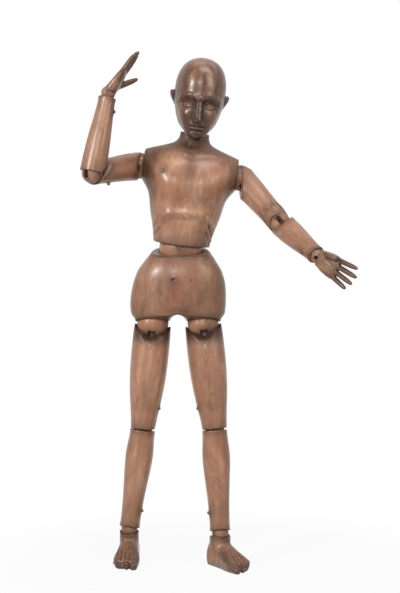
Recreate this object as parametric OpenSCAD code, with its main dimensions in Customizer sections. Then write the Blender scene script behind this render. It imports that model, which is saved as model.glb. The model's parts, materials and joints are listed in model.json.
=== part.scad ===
// Carved wooden lay figure whose limbs swivel and hinge on slotted wooden balls.
// Every ball has a turned spindle that swivels in the piece above it, held by a peg in a groove,
// and a slot in which the tongue of the next piece swings on a cross pin through the ball's centre.

/* [Lengths] */
// Hip centre to knee centre
thigh_length = 147.5; // [120:0.5:180]
// Knee centre to ankle centre
shin_length = 141; // [115:0.5:170]
// Ankle centre above the sole
ankle_height = 45; // [38:0.5:55]
// Shoulder centre to elbow centre
upper_arm_length = 104; // [85:0.5:125]
// Elbow centre to wrist centre
forearm_length = 107; // [88:0.5:128]
// Wrist centre to the tip of the middle finger
hand_length = 71; // [58:0.5:85]
// Hip centres to waist centre
pelvis_rise = 105; // [92:0.5:120]
// Waist centre to neck ball centre
torso_rise = 168; // [155:0.5:182]
// Neck ball centre to crown
head_rise = 97; // [85:0.5:110]
// Heel to the tip of the great toe
foot_length = 88; // [75:0.5:105]

/* [Spacings] */
// Distance between the hip centres
hip_spacing = 70; // [64:0.5:78]
// Distance between the shoulder centres
shoulder_spacing = 140; // [134:0.5:150]
// Shoulder centres above the waist centre
shoulder_rise = 107; // [102:0.5:112]
// Waist centre to one side of the hips
waist_shift = 4; // [0:0.5:8]

/* [Widths and depths] */
// Thigh width
thigh_w = 53; // [48:0.5:58]
// Thigh depth
thigh_d = 54; // [49:0.5:60]
// Knee width
knee_w = 34.5; // [32:0.5:40]
// Calf width
calf_w = 40; // [36:0.5:46]
// Calf depth
calf_d = 42; // [37:0.5:48]
// Shin width just above the ankle
ankle_w = 29; // [27:0.5:34]
// Upper arm width below the shoulder
upper_arm_w = 40; // [38.5:0.5:46]
// Width of the arm at the elbow
elbow_w = 32.5; // [31:0.5:38]
// Forearm width below the elbow
forearm_w = 34; // [31:0.5:40]
// Forearm width at the wrist
wrist_w = 23.5; // [22:0.5:28]
// Chest width over the flat shoulder faces
chest_w = 131; // [124:0.5:136]
// Chest depth
chest_d = 90; // [80:0.5:100]
// Waist width
waist_w = 77; // [72:0.5:84]
// Waist depth
waist_d = 68; // [66:0.5:76]
// Neck width
neck_w = 41; // [38:0.5:46]
// Hip width of the pelvis
pelvis_w = 135; // [124:0.5:146]
// Pelvis depth
pelvis_d = 88; // [80:0.5:100]
// Head width
head_w = 71; // [64:0.5:80]
// Head depth
head_d = 91; // [82:0.5:102]
// Hand width over the knuckles
hand_w = 31; // [27:0.5:36]
// Foot width over the toes
foot_w = 37; // [33:0.5:43]

/* [Ball joints] */
// Waist ball diameter
waist_ball_d = 60; // [54:0.5:63]
// Neck ball diameter
neck_ball_d = 31; // [27:0.5:34]
// Shoulder ball diameter
shoulder_ball_d = 36; // [32:0.5:38]
// Elbow ball diameter
elbow_ball_d = 28; // [25:0.5:29.5]
// Wrist ball diameter
wrist_ball_d = 19; // [17:0.5:20.5]
// Hip ball diameter
hip_ball_d = 44; // [38:0.5:47]
// Knee ball diameter
knee_ball_d = 27; // [24:0.5:29]
// Ankle ball diameter
ankle_ball_d = 23; // [20:0.5:25]
// Tongue thickness as a share of the ball diameter
tongue_share = 0.19; // [0.15:0.01:0.23]
// Cross pin diameter as a share of the ball diameter
pin_share = 0.15; // [0.11:0.01:0.18]
// Spindle diameter as a share of the ball diameter
spindle_share = 0.36; // [0.3:0.01:0.4]
// Retaining peg diameter
peg_d = 4; // [3:0.25:4.5]
// How far a peg stands out of the wood
peg_proud = 2; // [1:0.25:3]

/* [Peg places] */
// Knee spindle peg above the knee centre
thigh_peg_up = 31; // [26:0.5:40]
// Ankle spindle peg above the ankle centre
shin_peg_up = 28; // [22:0.5:36]
// Elbow spindle peg above the elbow centre
upper_arm_peg_up = 27; // [23:0.5:34]
// Wrist spindle peg behind the wrist centre
forearm_peg_up = 23; // [18:0.5:30]
// Hip spindle peg above the hip centre
hip_peg_up = 40; // [35:0.5:46]
// Waist spindle peg below the waist centre
waist_peg_down = 45; // [41:0.5:50]
// Neck spindle peg below the neck ball centre
neck_peg_down = 28; // [24:0.5:32]
// Shoulder spindle peg inside the shoulder centre
shoulder_peg_in = 33; // [29:0.5:36]

/* [Fits] */
// Clearance of a ball in its cup and of a spindle in its bore
turn_gap = 0.3; // [0.2:0.05:0.5]
// Clearance of a cross pin in a tongue
pin_gap = 0.15; // [0.1:0.05:0.25]
// Clearance of a glued or driven piece
glue_gap = 0.05; // [0.03:0.01:0.1]
// Seam between two closed rims
seam = 1.4; // [1:0.1:2]

/* [Travel] */
// Elbow bend from straight, least and most
elbow_bend = [0, 112];
// Knee bend from straight, least and most
knee_bend = [0, 105];
// Hip swing back and forward of the pose
hip_swing = [-12, 38];
// Wrist bend back and towards the palm from straight
wrist_bend = [-35, 40];
// Foot pitch up and down from level
ankle_pitch = [-18, 22];
// Shoulder raise down and up from the pose
shoulder_raise = [-8, 32];
// Head nod back and forward of the pose
neck_nod = [-20, 4];
// Waist lean back to the other side and on from the pose
waist_lean = [-14, 1];

/* [Pose] */
// Lean of the torso to its left side
torso_lean = 7; // [4:0.5:9]
// Turn of the head to its left side
head_turn = 3; // [-10:0.5:10]
// Forward nod of the head
head_nod = 12; // [8:0.5:16]
// Right knee beside and behind its hip
right_knee_step = [-14, 1];
// Right ankle beside and behind its knee
right_ankle_step = [-19, 2];
// Left knee beside and behind its hip
left_knee_step = [16, -12];
// Left ankle beside its knee
left_ankle_side = 7.5; // [4:0.5:10]
// Aim of the right upper arm
right_upper_arm_aim = [-59, -84, -19.5];
// Aim of the right forearm
right_forearm_aim = [21, 0, 105];
// Aim of the right hand
right_hand_aim = [42, 0, 58];
// Aim of the left upper arm
left_upper_arm_aim = [53.3, -58, -68.4];
// Aim of the left forearm
left_forearm_aim = [39.9, -87, -46.9];
// Aim of the left hand
left_hand_aim = [40.7, -48, -32.6];
// Way the right palm faces
right_palm_faces = [0.8, 0, -0.6];
// Way the left palm faces
left_palm_faces = [-0.75, -0.67, 0.02];
// Right foot turned out
right_toe_out = 2; // [0:1:15]
// Left foot turned out
left_toe_out = 36; // [25:1:45]

/* [Hidden] */
$fn = 48;
reach = 240;
tail = 6;
rim = seam / 2;
carve_power = 2.2;

// Vectors and frames. A limb's frame has its origin at the upper joint, z towards the piece above,
// x outwards and y to the back; a right limb's frame is the mirror image of a left one's.
function unit(v) = v / norm(v);
function square_to(v, z) = unit(v - (v * z) * z);
function frame_of(o, x, y, z) = [
    [x[0], y[0], z[0], o[0]],
    [x[1], y[1], z[1], o[1]],
    [x[2], y[2], z[2], o[2]],
    [0, 0, 0, 1]
];
function frame(o, up, front, hand = 1) =
    let (z = unit(up), y = -square_to(front, z))
    frame_of(o, hand * cross(y, z), y, z);
function shift(v) = [[1, 0, 0, v[0]], [0, 1, 0, v[1]], [0, 0, 1, v[2]], [0, 0, 0, 1]];
function about_x(a) = [[1, 0, 0, 0], [0, cos(a), -sin(a), 0], [0, sin(a), cos(a), 0], [0, 0, 0, 1]];
function about_y(a) = [[cos(a), 0, sin(a), 0], [0, 1, 0, 0], [-sin(a), 0, cos(a), 0], [0, 0, 0, 1]];
function about_z(a) = [[cos(a), -sin(a), 0, 0], [sin(a), cos(a), 0, 0], [0, 0, 1, 0], [0, 0, 0, 1]];
function place_of(m) = [m[0][3], m[1][3], m[2][3]];
function column(m, i) = [m[0][i], m[1][i], m[2][i]];
function drop_of(length, step) = sqrt(max(0, length * length - step * step));
function bend_of(a, b) = acos(unit(a) * unit(b));

// Legs, from the floor up: both soles are level, so the left leg steps forward as far as its length asks
leg_drop = drop_of(thigh_length, right_knee_step) + drop_of(shin_length, right_ankle_step);
hip_z = ankle_height + leg_drop;
left_shin_drop = leg_drop - drop_of(thigh_length, left_knee_step);
left_ankle_ahead = drop_of(shin_length, [left_shin_drop, left_ankle_side]);
left_ankle_step = [left_ankle_side, -left_ankle_ahead];

// Middle of the figure's outer box, so that the shared frame stands under it
raw_waist = [waist_shift, 0, hip_z + pelvis_rise];
raw_torso = shift(raw_waist) * about_y(torso_lean);
raw_right_shoulder = place_of(raw_torso * shift([-shoulder_spacing / 2, 0, shoulder_rise]));
raw_left_shoulder = place_of(raw_torso * shift([shoulder_spacing / 2, 0, shoulder_rise]));
raw_right_elbow = raw_right_shoulder + upper_arm_length * unit(right_upper_arm_aim);
raw_left_elbow = raw_left_shoulder + upper_arm_length * unit(left_upper_arm_aim);
raw_left_tip = raw_left_elbow + forearm_length * unit(left_forearm_aim) + hand_length * unit(left_hand_aim);
centre = [
    (raw_right_elbow[0] - forearm_w / 2 + raw_left_tip[0] + hand_w / 8) / 2,
    (raw_left_tip[1] - hand_w / 8 + pelvis_d * 0.6) / 2,
    0
];

// Joint centres
pelvis_at = [0, 0, hip_z] - centre;
left_hip_at = pelvis_at + [hip_spacing / 2, 0, 0];
right_hip_at = pelvis_at - [hip_spacing / 2, 0, 0];
left_knee_at = left_hip_at
    + [left_knee_step[0], left_knee_step[1], -drop_of(thigh_length, left_knee_step)];
right_knee_at = right_hip_at
    + [right_knee_step[0], right_knee_step[1], -drop_of(thigh_length, right_knee_step)];
left_ankle_at = left_knee_at + [left_ankle_step[0], left_ankle_step[1], -left_shin_drop];
right_ankle_at = right_knee_at
    + [right_ankle_step[0], right_ankle_step[1], -drop_of(shin_length, right_ankle_step)];
left_elbow_at = raw_left_elbow - centre;
right_elbow_at = raw_right_elbow - centre;
left_wrist_at = left_elbow_at + forearm_length * unit(left_forearm_aim);
right_wrist_at = right_elbow_at + forearm_length * unit(right_forearm_aim);

// Body frames in the pose
front = [0, -1, 0];
pelvis_frame = shift(pelvis_at);
torso_frame = shift(raw_waist - centre) * about_y(torso_lean);
neck_frame = torso_frame * shift([0, 0, torso_rise]);
head_frame = neck_frame * about_z(head_turn) * about_x(head_nod);
left_shoulder_at = raw_left_shoulder - centre;
right_shoulder_at = raw_right_shoulder - centre;
left_upper_arm_frame = frame(left_shoulder_at, -left_upper_arm_aim,
    unit(left_forearm_aim) - unit(left_upper_arm_aim));
right_upper_arm_frame = frame(right_shoulder_at, -right_upper_arm_aim,
    unit(right_forearm_aim) - unit(right_upper_arm_aim), -1);
left_forearm_frame = frame(left_elbow_at, -left_forearm_aim,
    unit(left_forearm_aim) - unit(left_upper_arm_aim));
right_forearm_frame = frame(right_elbow_at, -right_forearm_aim,
    -unit(right_upper_arm_aim), -1);
left_hand_frame = frame(left_wrist_at, -left_hand_aim, left_palm_faces);
right_hand_frame = frame(right_wrist_at, -right_hand_aim, right_palm_faces, -1);
left_thigh_frame = frame(left_hip_at, left_hip_at - left_knee_at, front);
right_thigh_frame = frame(right_hip_at, right_hip_at - right_knee_at, front, -1);
left_shin_frame = frame(left_knee_at, left_knee_at - left_ankle_at, front);
right_shin_frame = frame(right_knee_at, right_knee_at - right_ankle_at, front, -1);
left_foot_frame = frame(left_ankle_at, [0, 0, 1], [sin(left_toe_out), -cos(left_toe_out), 0]);
right_foot_frame = frame(right_ankle_at, [0, 0, 1], [-sin(right_toe_out), -cos(right_toe_out), 0], -1);

// Spindle frames: origin at the ball's centre, z along the spindle
waist_spindle = shift(raw_waist - centre) * about_x(180);
neck_spindle = neck_frame * about_x(180);
left_shoulder_spindle = torso_frame * shift([shoulder_spacing / 2, 0, shoulder_rise]) * about_y(-90);
right_shoulder_spindle = torso_frame * shift([-shoulder_spacing / 2, 0, shoulder_rise]) * about_y(90);
left_elbow_spindle = left_upper_arm_frame * shift([0, 0, -upper_arm_length]);
right_elbow_spindle = right_upper_arm_frame * shift([0, 0, -upper_arm_length]);
left_wrist_spindle = left_forearm_frame * shift([0, 0, -forearm_length]);
right_wrist_spindle = right_forearm_frame * shift([0, 0, -forearm_length]);
left_hip_spindle = left_thigh_frame;
right_hip_spindle = right_thigh_frame;
left_knee_spindle = left_thigh_frame * shift([0, 0, -thigh_length]);
right_knee_spindle = right_thigh_frame * shift([0, 0, -thigh_length]);
left_ankle_spindle = left_shin_frame * shift([0, 0, -shin_length]);
right_ankle_spindle = right_shin_frame * shift([0, 0, -shin_length]);

// Hinge frames: origin at the ball's centre, x along the cross pin, the tongue along -z, swinging to -y
waist_hinge = torso_frame * about_z(90) * about_y(180);
neck_hinge = head_frame * about_y(180);
left_shoulder_hinge = frame(left_shoulder_at, -left_upper_arm_aim, column(torso_frame, 0));
right_shoulder_hinge = frame(right_shoulder_at, -right_upper_arm_aim, -column(torso_frame, 0), -1);

// Swing of each tongue in its ball, from the pose
left_elbow_now = bend_of(left_upper_arm_aim, left_forearm_aim);
right_elbow_now = bend_of(right_upper_arm_aim, right_forearm_aim);
left_elbow_swing = elbow_bend - [left_elbow_now, left_elbow_now];
right_elbow_swing = elbow_bend - [right_elbow_now, right_elbow_now];
left_wrist_now = -bend_of(left_forearm_aim, left_hand_aim);
right_wrist_now = bend_of(right_forearm_aim, right_hand_aim);
left_wrist_swing = wrist_bend - [left_wrist_now, left_wrist_now];
right_wrist_swing = wrist_bend - [right_wrist_now, right_wrist_now];

// Sizes taken from a ball's diameter
function tongue_t(d) = tongue_share * d;
function tongue_r(d) = 0.18 * d;
function tongue_end(d) = 0.95 * d;
function pin_r(d) = pin_share * d / 2;
function spindle_r(d) = spindle_share * d / 2;
function groove_r(d) = 0.7 * spindle_r(d);

// Smooth curve through a list of stations
function spline(p, t) =
    let (n = len(p) - 1, i = min(floor(t), n - 1), u = t - i)
    let (a = p[max(i - 1, 0)], b = p[i], c = p[i + 1], d = p[min(i + 2, n)])
    b + u / 2 * (c - a + u * (2 * a - 5 * b + 4 * c - d + u * (3 * b - a - 3 * c + d)));
function total(v) = len(v) == 0 ? 0 : v * [for (x = v) 1];
function sign_power(v, e) = sign(v) * pow(abs(v), e);
// Carved relief: each mark is x, z, spread in x, spread in z and height, then -1 for front or 1 for back
function relief_at(marks, x, z, n) = total([
    for (m = marks)
        if (m[5] * n > 0)
            let (fade = min(1, 1.8 * m[5] * n), u = (x - m[0]) / m[2], v = (z - m[1]) / m[3])
            m[5] * m[4] * fade * exp(-u * u - v * v)
]);
// One ring of a carved form; a station is z, half width, front depth, back depth, shift in x, shift in y
function ring_of(s, sides, power, marks) = [
    for (i = [0 : sides - 1])
        let (a = 360 * i / sides, n = sin(a))
        let (x = s[4] + s[1] * sign_power(cos(a), 2 / power))
        let (y = s[5] + (n < 0 ? s[2] : s[3]) * sign_power(n, 2 / power))
        [x, y + relief_at(marks, x, s[0], n), s[0]]
];
function mirrored(marks) = [for (m = marks, k = [-1, 1]) [k * m[0], m[1], m[2], m[3], m[4], m[5]]];

// Solid through a list of stations given from the top down
module carved(stations, rings, sides, power = carve_power, marks = []) {
    last = len(stations) - 1;
    points = [
        for (k = [0 : rings])
            each ring_of(spline(stations, last * k / rings), sides, power, marks)
    ];
    walls = [
        for (k = [0 : rings - 1], i = [0 : sides - 1])
            let (j = (i + 1) % sides, u = k * sides, d = u + sides)
            each [[u + i, u + j, d + j], [u + i, d + j, d + i]]
    ];
    top_cap = [for (i = [sides - 1 : -1 : 0]) i];
    bottom_cap = [for (i = [0 : sides - 1]) rings * sides + i];
    polyhedron(points, concat(walls, [top_cap, bottom_cap]), convexity = 6);
}

module put(m) {
    multmatrix(m) children();
}

// Everything above a plane through the axis at -low that falls away by tilt towards azimuth
module above(low, azimuth = 0, tilt = 0) {
    rotate([0, 0, azimuth])
        translate([0, 0, -low])
            rotate([0, tilt, 0])
                translate([-reach / 2, -reach / 2, 0])
                    cube(reach);
}

// Everything below a plane through the axis at high that rises by tilt towards azimuth
module below(high, azimuth = 0, tilt = 0) {
    rotate([0, 0, azimuth])
        translate([0, 0, high])
            rotate([0, -tilt, 0])
                translate([-reach / 2, -reach / 2, -reach])
                    cube(reach);
}

// Room for a ball, its spindle and its peg, in the spindle's frame
module swivel_room(d, peg_at) {
    rotate([0, 90, 0])
        sphere(d = d + 2 * turn_gap);
    cylinder(r = spindle_r(d) + turn_gap, h = peg_at + tail + turn_gap);
}

// Cup for a ball above, in the hinge's frame
module cup(d) {
    rotate([0, -90, 0])
        sphere(d = d + 2 * turn_gap);
}

// Axis of a retaining peg that runs in the spindle's groove, in the spindle's frame
module peg_axis(d, peg_at, azimuth) {
    rotate([0, 0, azimuth])
        translate([0, groove_r(d) + peg_d / 2 + turn_gap, peg_at])
            rotate([0, 90, 0])
                children();
}

module peg_hole(d, peg_at, azimuth, out) {
    peg_axis(d, peg_at, azimuth)
        translate([0, 0, -spindle_r(d) - tail])
            cylinder(d = peg_d + 2 * glue_gap, h = spindle_r(d) + tail + out + peg_d);
}

// Driven peg with a rounded end that stands proud of the wood
module peg(d, peg_at, azimuth, out) {
    length = spindle_r(d) + tail + out + peg_proud;
    peg_axis(d, peg_at, azimuth)
        translate([0, 0, -spindle_r(d) - tail + glue_gap])
            rotate_extrude()
                polygon([
                    [0, 0], [peg_d / 2, 0], [peg_d / 2, length - peg_d / 4],
                    for (a = [15 : 15 : 75]) [peg_d / 2 * cos(a), length - peg_d / 4 + peg_d / 4 * sin(a)],
                    [0, length]
                ]);
}

// Flat tongue on its pin, in the hinge's frame
module tongue_plate(d, gap = 0) {
    rotate([90, 0, 90])
        linear_extrude(height = tongue_t(d) + 2 * gap, center = true)
            union() {
                circle(r = tongue_r(d) + gap);
                translate([-tongue_r(d) - gap, -tongue_end(d) - gap])
                    square([2 * tongue_r(d) + 2 * gap, tongue_end(d) + gap]);
            }
}

module pin_hole(d) {
    rotate([0, 90, 0])
        cylinder(r = pin_r(d) + pin_gap, h = d, center = true);
}

module tongue(d) {
    difference() {
        tongue_plate(d);
        pin_hole(d);
    }
}

// Cross pin, a little shorter than the ball is wide there
module cross_pin(d) {
    rotate([0, 90, 0])
        cylinder(r = pin_r(d), h = d - 2 * pin_r(d) * pin_share - 1, center = true);
}

// Slot that lets the tongue swing from the first angle to the second, in the hinge's frame
module swing_slot(d, swing) {
    r = tongue_r(d) + turn_gap;
    function way(a) = [-sin(a), -cos(a)];
    function beside(a) = [-cos(a), sin(a)];
    lo = swing[0];
    hi = swing[1];
    steps = ceil((hi - lo) / 30);
    rotate([90, 0, 90])
        linear_extrude(height = tongue_t(d) + 2 * turn_gap, center = true)
            union() {
                circle(r = 1.02 * r);
                polygon([
                    -r * beside(lo),
                    -r * beside(lo) + d * way(lo),
                    for (k = [0 : steps]) 1.3 * d * way(lo + (hi - lo) * k / steps),
                    r * beside(hi) + d * way(hi),
                    r * beside(hi)
                ]);
            }
}

// Slotted ball with its spindle
module ball(d, peg_at, swing, spindle, hinge) {
    difference() {
        union() {
            put(hinge)
                rotate([0, 90, 0])
                    sphere(d = d);
            put(spindle)
                difference() {
                    cylinder(r = spindle_r(d), h = peg_at + tail);
                    translate([0, 0, peg_at - peg_d / 2 - turn_gap])
                        difference() {
                            cylinder(r = d, h = peg_d + 2 * turn_gap);
                            translate([0, 0, -1])
                                cylinder(r = groove_r(d), h = peg_d + 2 * turn_gap + 2);
                        }
                }
        }
        put(hinge)
            swing_slot(d, swing);
        put(hinge)
            rotate([0, 90, 0])
                cylinder(r = pin_r(d) + glue_gap, h = d + 2, center = true);
    }
}

// Carved pieces

module thigh_wood() {
    l = thigh_length;
    difference() {
        carved([
            [8, thigh_w * 0.46, thigh_d * 0.46, thigh_d * 0.48, 0, 0],
            [-l * 0.12, thigh_w * 0.5, thigh_d * 0.5, thigh_d * 0.5, 0, 0],
            [-l * 0.4, thigh_w * 0.5, thigh_d * 0.5, thigh_d * 0.48, 0, -1],
            [-l * 0.62, thigh_w * 0.46, thigh_d * 0.44, thigh_d * 0.41, 0, -1],
            [-l * 0.82, thigh_w * 0.39, thigh_d * 0.37, thigh_d * 0.35, 0, 0],
            [-l * 0.94, knee_w * 0.52, knee_w * 0.56, knee_w * 0.5, 0, 0],
            [-l - 6, knee_w * 0.5, knee_w * 0.55, knee_w * 0.48, 0, 0]
        ], 12, 24, marks = [[0, -l * 0.93, knee_w * 0.3, l * 0.06, 1.5, -1]]);
        above(2);
        above(2, -90, -hip_swing[0] + hip_swing[1] * 0.55);
        above(2, 90, -hip_swing[0] + 4);
        cup(hip_ball_d);
        tongue_plate(hip_ball_d, glue_gap);
        translate([0, 0, -l]) {
            below(rim);
            for (a = [-15, 0, 15])
                below(rim, 90 + a, knee_bend[1] / 2 + 2);
            swivel_room(knee_ball_d, thigh_peg_up);
            peg_hole(knee_ball_d, thigh_peg_up, 180, thigh_w / 2);
        }
    }
}

module shin_wood() {
    l = shin_length;
    difference() {
        carved([
            [6, knee_w * 0.5, knee_w * 0.55, knee_w * 0.47, 0, 0],
            [-l * 0.08, knee_w * 0.52, knee_w * 0.55, knee_w * 0.52, 0, 0],
            [-l * 0.26, calf_w * 0.5, calf_d * 0.42, calf_d * 0.58, 0, 0],
            [-l * 0.48, calf_w * 0.45, calf_d * 0.39, calf_d * 0.52, 0, 0],
            [-l * 0.72, ankle_w * 0.53, ankle_w * 0.54, ankle_w * 0.56, 0, 0],
            [-l * 0.92, ankle_w * 0.5, ankle_w * 0.52, ankle_w * 0.52, 0, 0],
            [-l - 6, ankle_w * 0.5, ankle_w * 0.52, ankle_w * 0.52, 0, 0]
        ], 12, 24, marks = [[0, -l * 0.06, knee_w * 0.28, l * 0.05, 1.5, -1]]);
        above(rim);
        above(rim, 90, knee_bend[1] / 2 + 2);
        cup(knee_ball_d);
        tongue_plate(knee_ball_d, glue_gap);
        translate([0, 0, -l]) {
            below(2);
            below(2, -90, 12);
            below(2, 90, 10);
            swivel_room(ankle_ball_d, shin_peg_up);
            peg_hole(ankle_ball_d, shin_peg_up, 180, calf_w / 2);
        }
    }
}

module toe(length, r) {
    rotate([-90, 0, 0])
        carved([
            [12, r * 0.9, r * 0.8, r, 0, 0],
            [0, r, r * 0.95, r, 0, 0],
            [-length * 0.55, r * 0.98, r * 0.85, r, 0, 0],
            [-length * 0.9, r * 0.8, r * 0.6, r, 0, 0],
            [-length, r * 0.35, r * 0.25, r * 0.5, 0, 0]
        ], 4, 8);
}

module foot_wood() {
    ahead = foot_length * 0.63;
    behind = foot_length - ahead;
    mid = 33 / 45 * ankle_height;
    sole = ankle_height - mid + 6;
    toe_r = foot_w * 0.105;
    difference() {
        union() {
            rotate([-90, 0, 0])
                carved([
                    [behind, foot_w * 0.1, 5, sole * 0.7, 0, mid],
                    [behind * 0.88, foot_w * 0.26, 12, sole, 0, mid],
                    [behind * 0.45, foot_w * 0.36, 21, sole, 0, mid],
                    [0, foot_w * 0.38, 26, sole, 0, mid],
                    [-ahead * 0.32, foot_w * 0.41, 18, sole, 0, mid],
                    [-ahead * 0.58, foot_w * 0.48, 9, sole, 0, mid],
                    [-ahead * 0.76, foot_w * 0.48, 3, sole, 0, mid],
                    [-ahead * 0.86, foot_w * 0.4, -1, sole * 0.8, -1, mid]
                ], 12, 20, 2.4);
            carved([
                [4, ankle_w * 0.47, ankle_w * 0.5, ankle_w * 0.52, 0, 0],
                [-ankle_height * 0.25, ankle_w * 0.46, ankle_w * 0.5, ankle_w * 0.56, 0, 0],
                [-ankle_height * 0.6, ankle_w * 0.46, ankle_w * 0.62, ankle_w * 0.66, 0, 0]
            ], 4, 20);
            translate([-foot_w * 0.29, -ahead * 0.72, -ankle_height + toe_r * 1.35])
                toe(ahead * 0.28, toe_r * 1.6);
            for (k = [0 : 3])
                translate([foot_w * (0.155 * k - 0.04), ahead * (0.045 * k * k - 0.72), toe_r - ankle_height])
                    rotate([0, 0, 3 * k])
                        toe(ahead * (0.27 - 0.02 * k), toe_r * (1 - 0.03 * k));
        }
        below(-ankle_height);
        above(2);
        above(2, -90, ankle_pitch[1] - 4);
        above(2, 90, -ankle_pitch[0] - 2);
        cup(ankle_ball_d);
    }
}

module foot() {
    foot_wood();
    tongue(ankle_ball_d);
}

module upper_arm_wood() {
    l = upper_arm_length;
    difference() {
        carved([
            [10, upper_arm_w * 0.47, upper_arm_w * 0.47, upper_arm_w * 0.47, 0, 0],
            [-l * 0.08, upper_arm_w * 0.49, upper_arm_w * 0.49, upper_arm_w * 0.49, 0, 0],
            [-l * 0.3, upper_arm_w * 0.47, upper_arm_w * 0.49, upper_arm_w * 0.46, 0, 0],
            [-l * 0.58, upper_arm_w * 0.43, upper_arm_w * 0.44, upper_arm_w * 0.43, 0, 0],
            [-l * 0.85, elbow_w * 0.5, elbow_w * 0.5, elbow_w * 0.51, 0, 0],
            [-l - 6, elbow_w * 0.5, elbow_w * 0.5, elbow_w * 0.5, 0, 0]
        ], 10, 20);
        translate([0, 0, -l]) {
            below(rim);
            for (a = [-30, 0, 30])
                below(rim, -90 + a, elbow_bend[1] / 2);
            swivel_room(elbow_ball_d, upper_arm_peg_up);
            peg_hole(elbow_ball_d, upper_arm_peg_up, 90, upper_arm_w / 2);
        }
    }
}

// The shoulder end is cut in the shoulder hinge's own frame
module shoulder_end_cut() {
    above(1, 90, 52 - shoulder_raise[0]);
    above(1, -90, 12);
    above(1);
    cup(shoulder_ball_d);
    tongue_plate(shoulder_ball_d, glue_gap);
}

module forearm_wood() {
    l = forearm_length;
    difference() {
        carved([
            [6, elbow_w * 0.5, elbow_w * 0.5, elbow_w * 0.5, 0, 0],
            [-l * 0.07, forearm_w * 0.5, forearm_w * 0.49, forearm_w * 0.49, 0, 0],
            [-l * 0.25, forearm_w * 0.5, forearm_w * 0.48, forearm_w * 0.47, 0, 0],
            [-l * 0.5, forearm_w * 0.45, forearm_w * 0.43, forearm_w * 0.43, 0, 0],
            [-l * 0.8, wrist_w * 0.54, wrist_w * 0.5, wrist_w * 0.5, 0, 0],
            [-l - 4, wrist_w * 0.5, wrist_w * 0.46, wrist_w * 0.46, 0, 0]
        ], 10, 20);
        above(rim);
        above(rim, -90, elbow_bend[1] / 2);
        cup(elbow_ball_d);
        translate([0, 0, -l]) {
            below(3);
            for (a = [-90 : 45 : 225])
                below(2, a, 20);
            swivel_room(wrist_ball_d, forearm_peg_up);
            peg_hole(wrist_ball_d, forearm_peg_up, 180, forearm_w / 2);
        }
    }
}

module forearm() {
    forearm_wood();
    tongue(elbow_ball_d);
}

module finger(length, r) {
    carved([
        [7, r * 0.9, r * 0.9, r * 0.9, 0, 0],
        [-length * 0.02, r, r, r, 0, 0],
        [-length * 0.3, r * 0.92, r * 0.95, r * 0.92, 0, 0],
        [-length * 0.62, r * 0.9, r * 0.9, r * 0.92, 0, 0],
        [-length * 0.9, r * 0.72, r * 0.62, r * 0.68, 0, 0],
        [-length, r * 0.3, r * 0.25, r * 0.3, 0, 0]
    ], 6, 10);
}

module hand_wood(thumb_out, thumb_in, spread) {
    palm = hand_length * 0.5;
    r = hand_w * 0.118;
    lengths = [0.42, 0.47, 0.43, 0.34] * hand_length;
    difference() {
        union() {
            carved([
                [3, hand_w * 0.33, hand_w * 0.25, hand_w * 0.25, 0, 0],
                [-palm * 0.2, hand_w * 0.38, hand_w * 0.26, hand_w * 0.24, 0, 0],
                [-palm * 0.5, hand_w * 0.47, hand_w * 0.24, hand_w * 0.2, 0, 0],
                [-palm * 0.85, hand_w * 0.5, hand_w * 0.17, hand_w * 0.16, 0, 0],
                [-palm * 1.06, hand_w * 0.46, hand_w * 0.1, hand_w * 0.1, 0, 0]
            ], 8, 20, 2.5);
            for (k = [0 : 3])
                translate([hand_w * (0.375 - 0.25 * k), 0, -palm])
                    rotate([0, spread * (k - 1.4), 0])
                        finger(lengths[k], r * (1 - 0.04 * abs(k - 1)));
            translate([hand_w * 0.3, -hand_w * 0.08, -palm * 0.38])
                rotate([thumb_in, -thumb_out, 0])
                    finger(hand_length * 0.4, r * 1.2);
        }
        above(2);
        above(2, -90, 20);
        above(2, 90, 18);
        cup(wrist_ball_d);
    }
}

module left_hand_piece() {
    hand_wood(14, -22, 5);
    tongue(wrist_ball_d);
}

module right_hand_piece() {
    hand_wood(42, -18, 1);
    tongue(wrist_ball_d);
}

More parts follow.
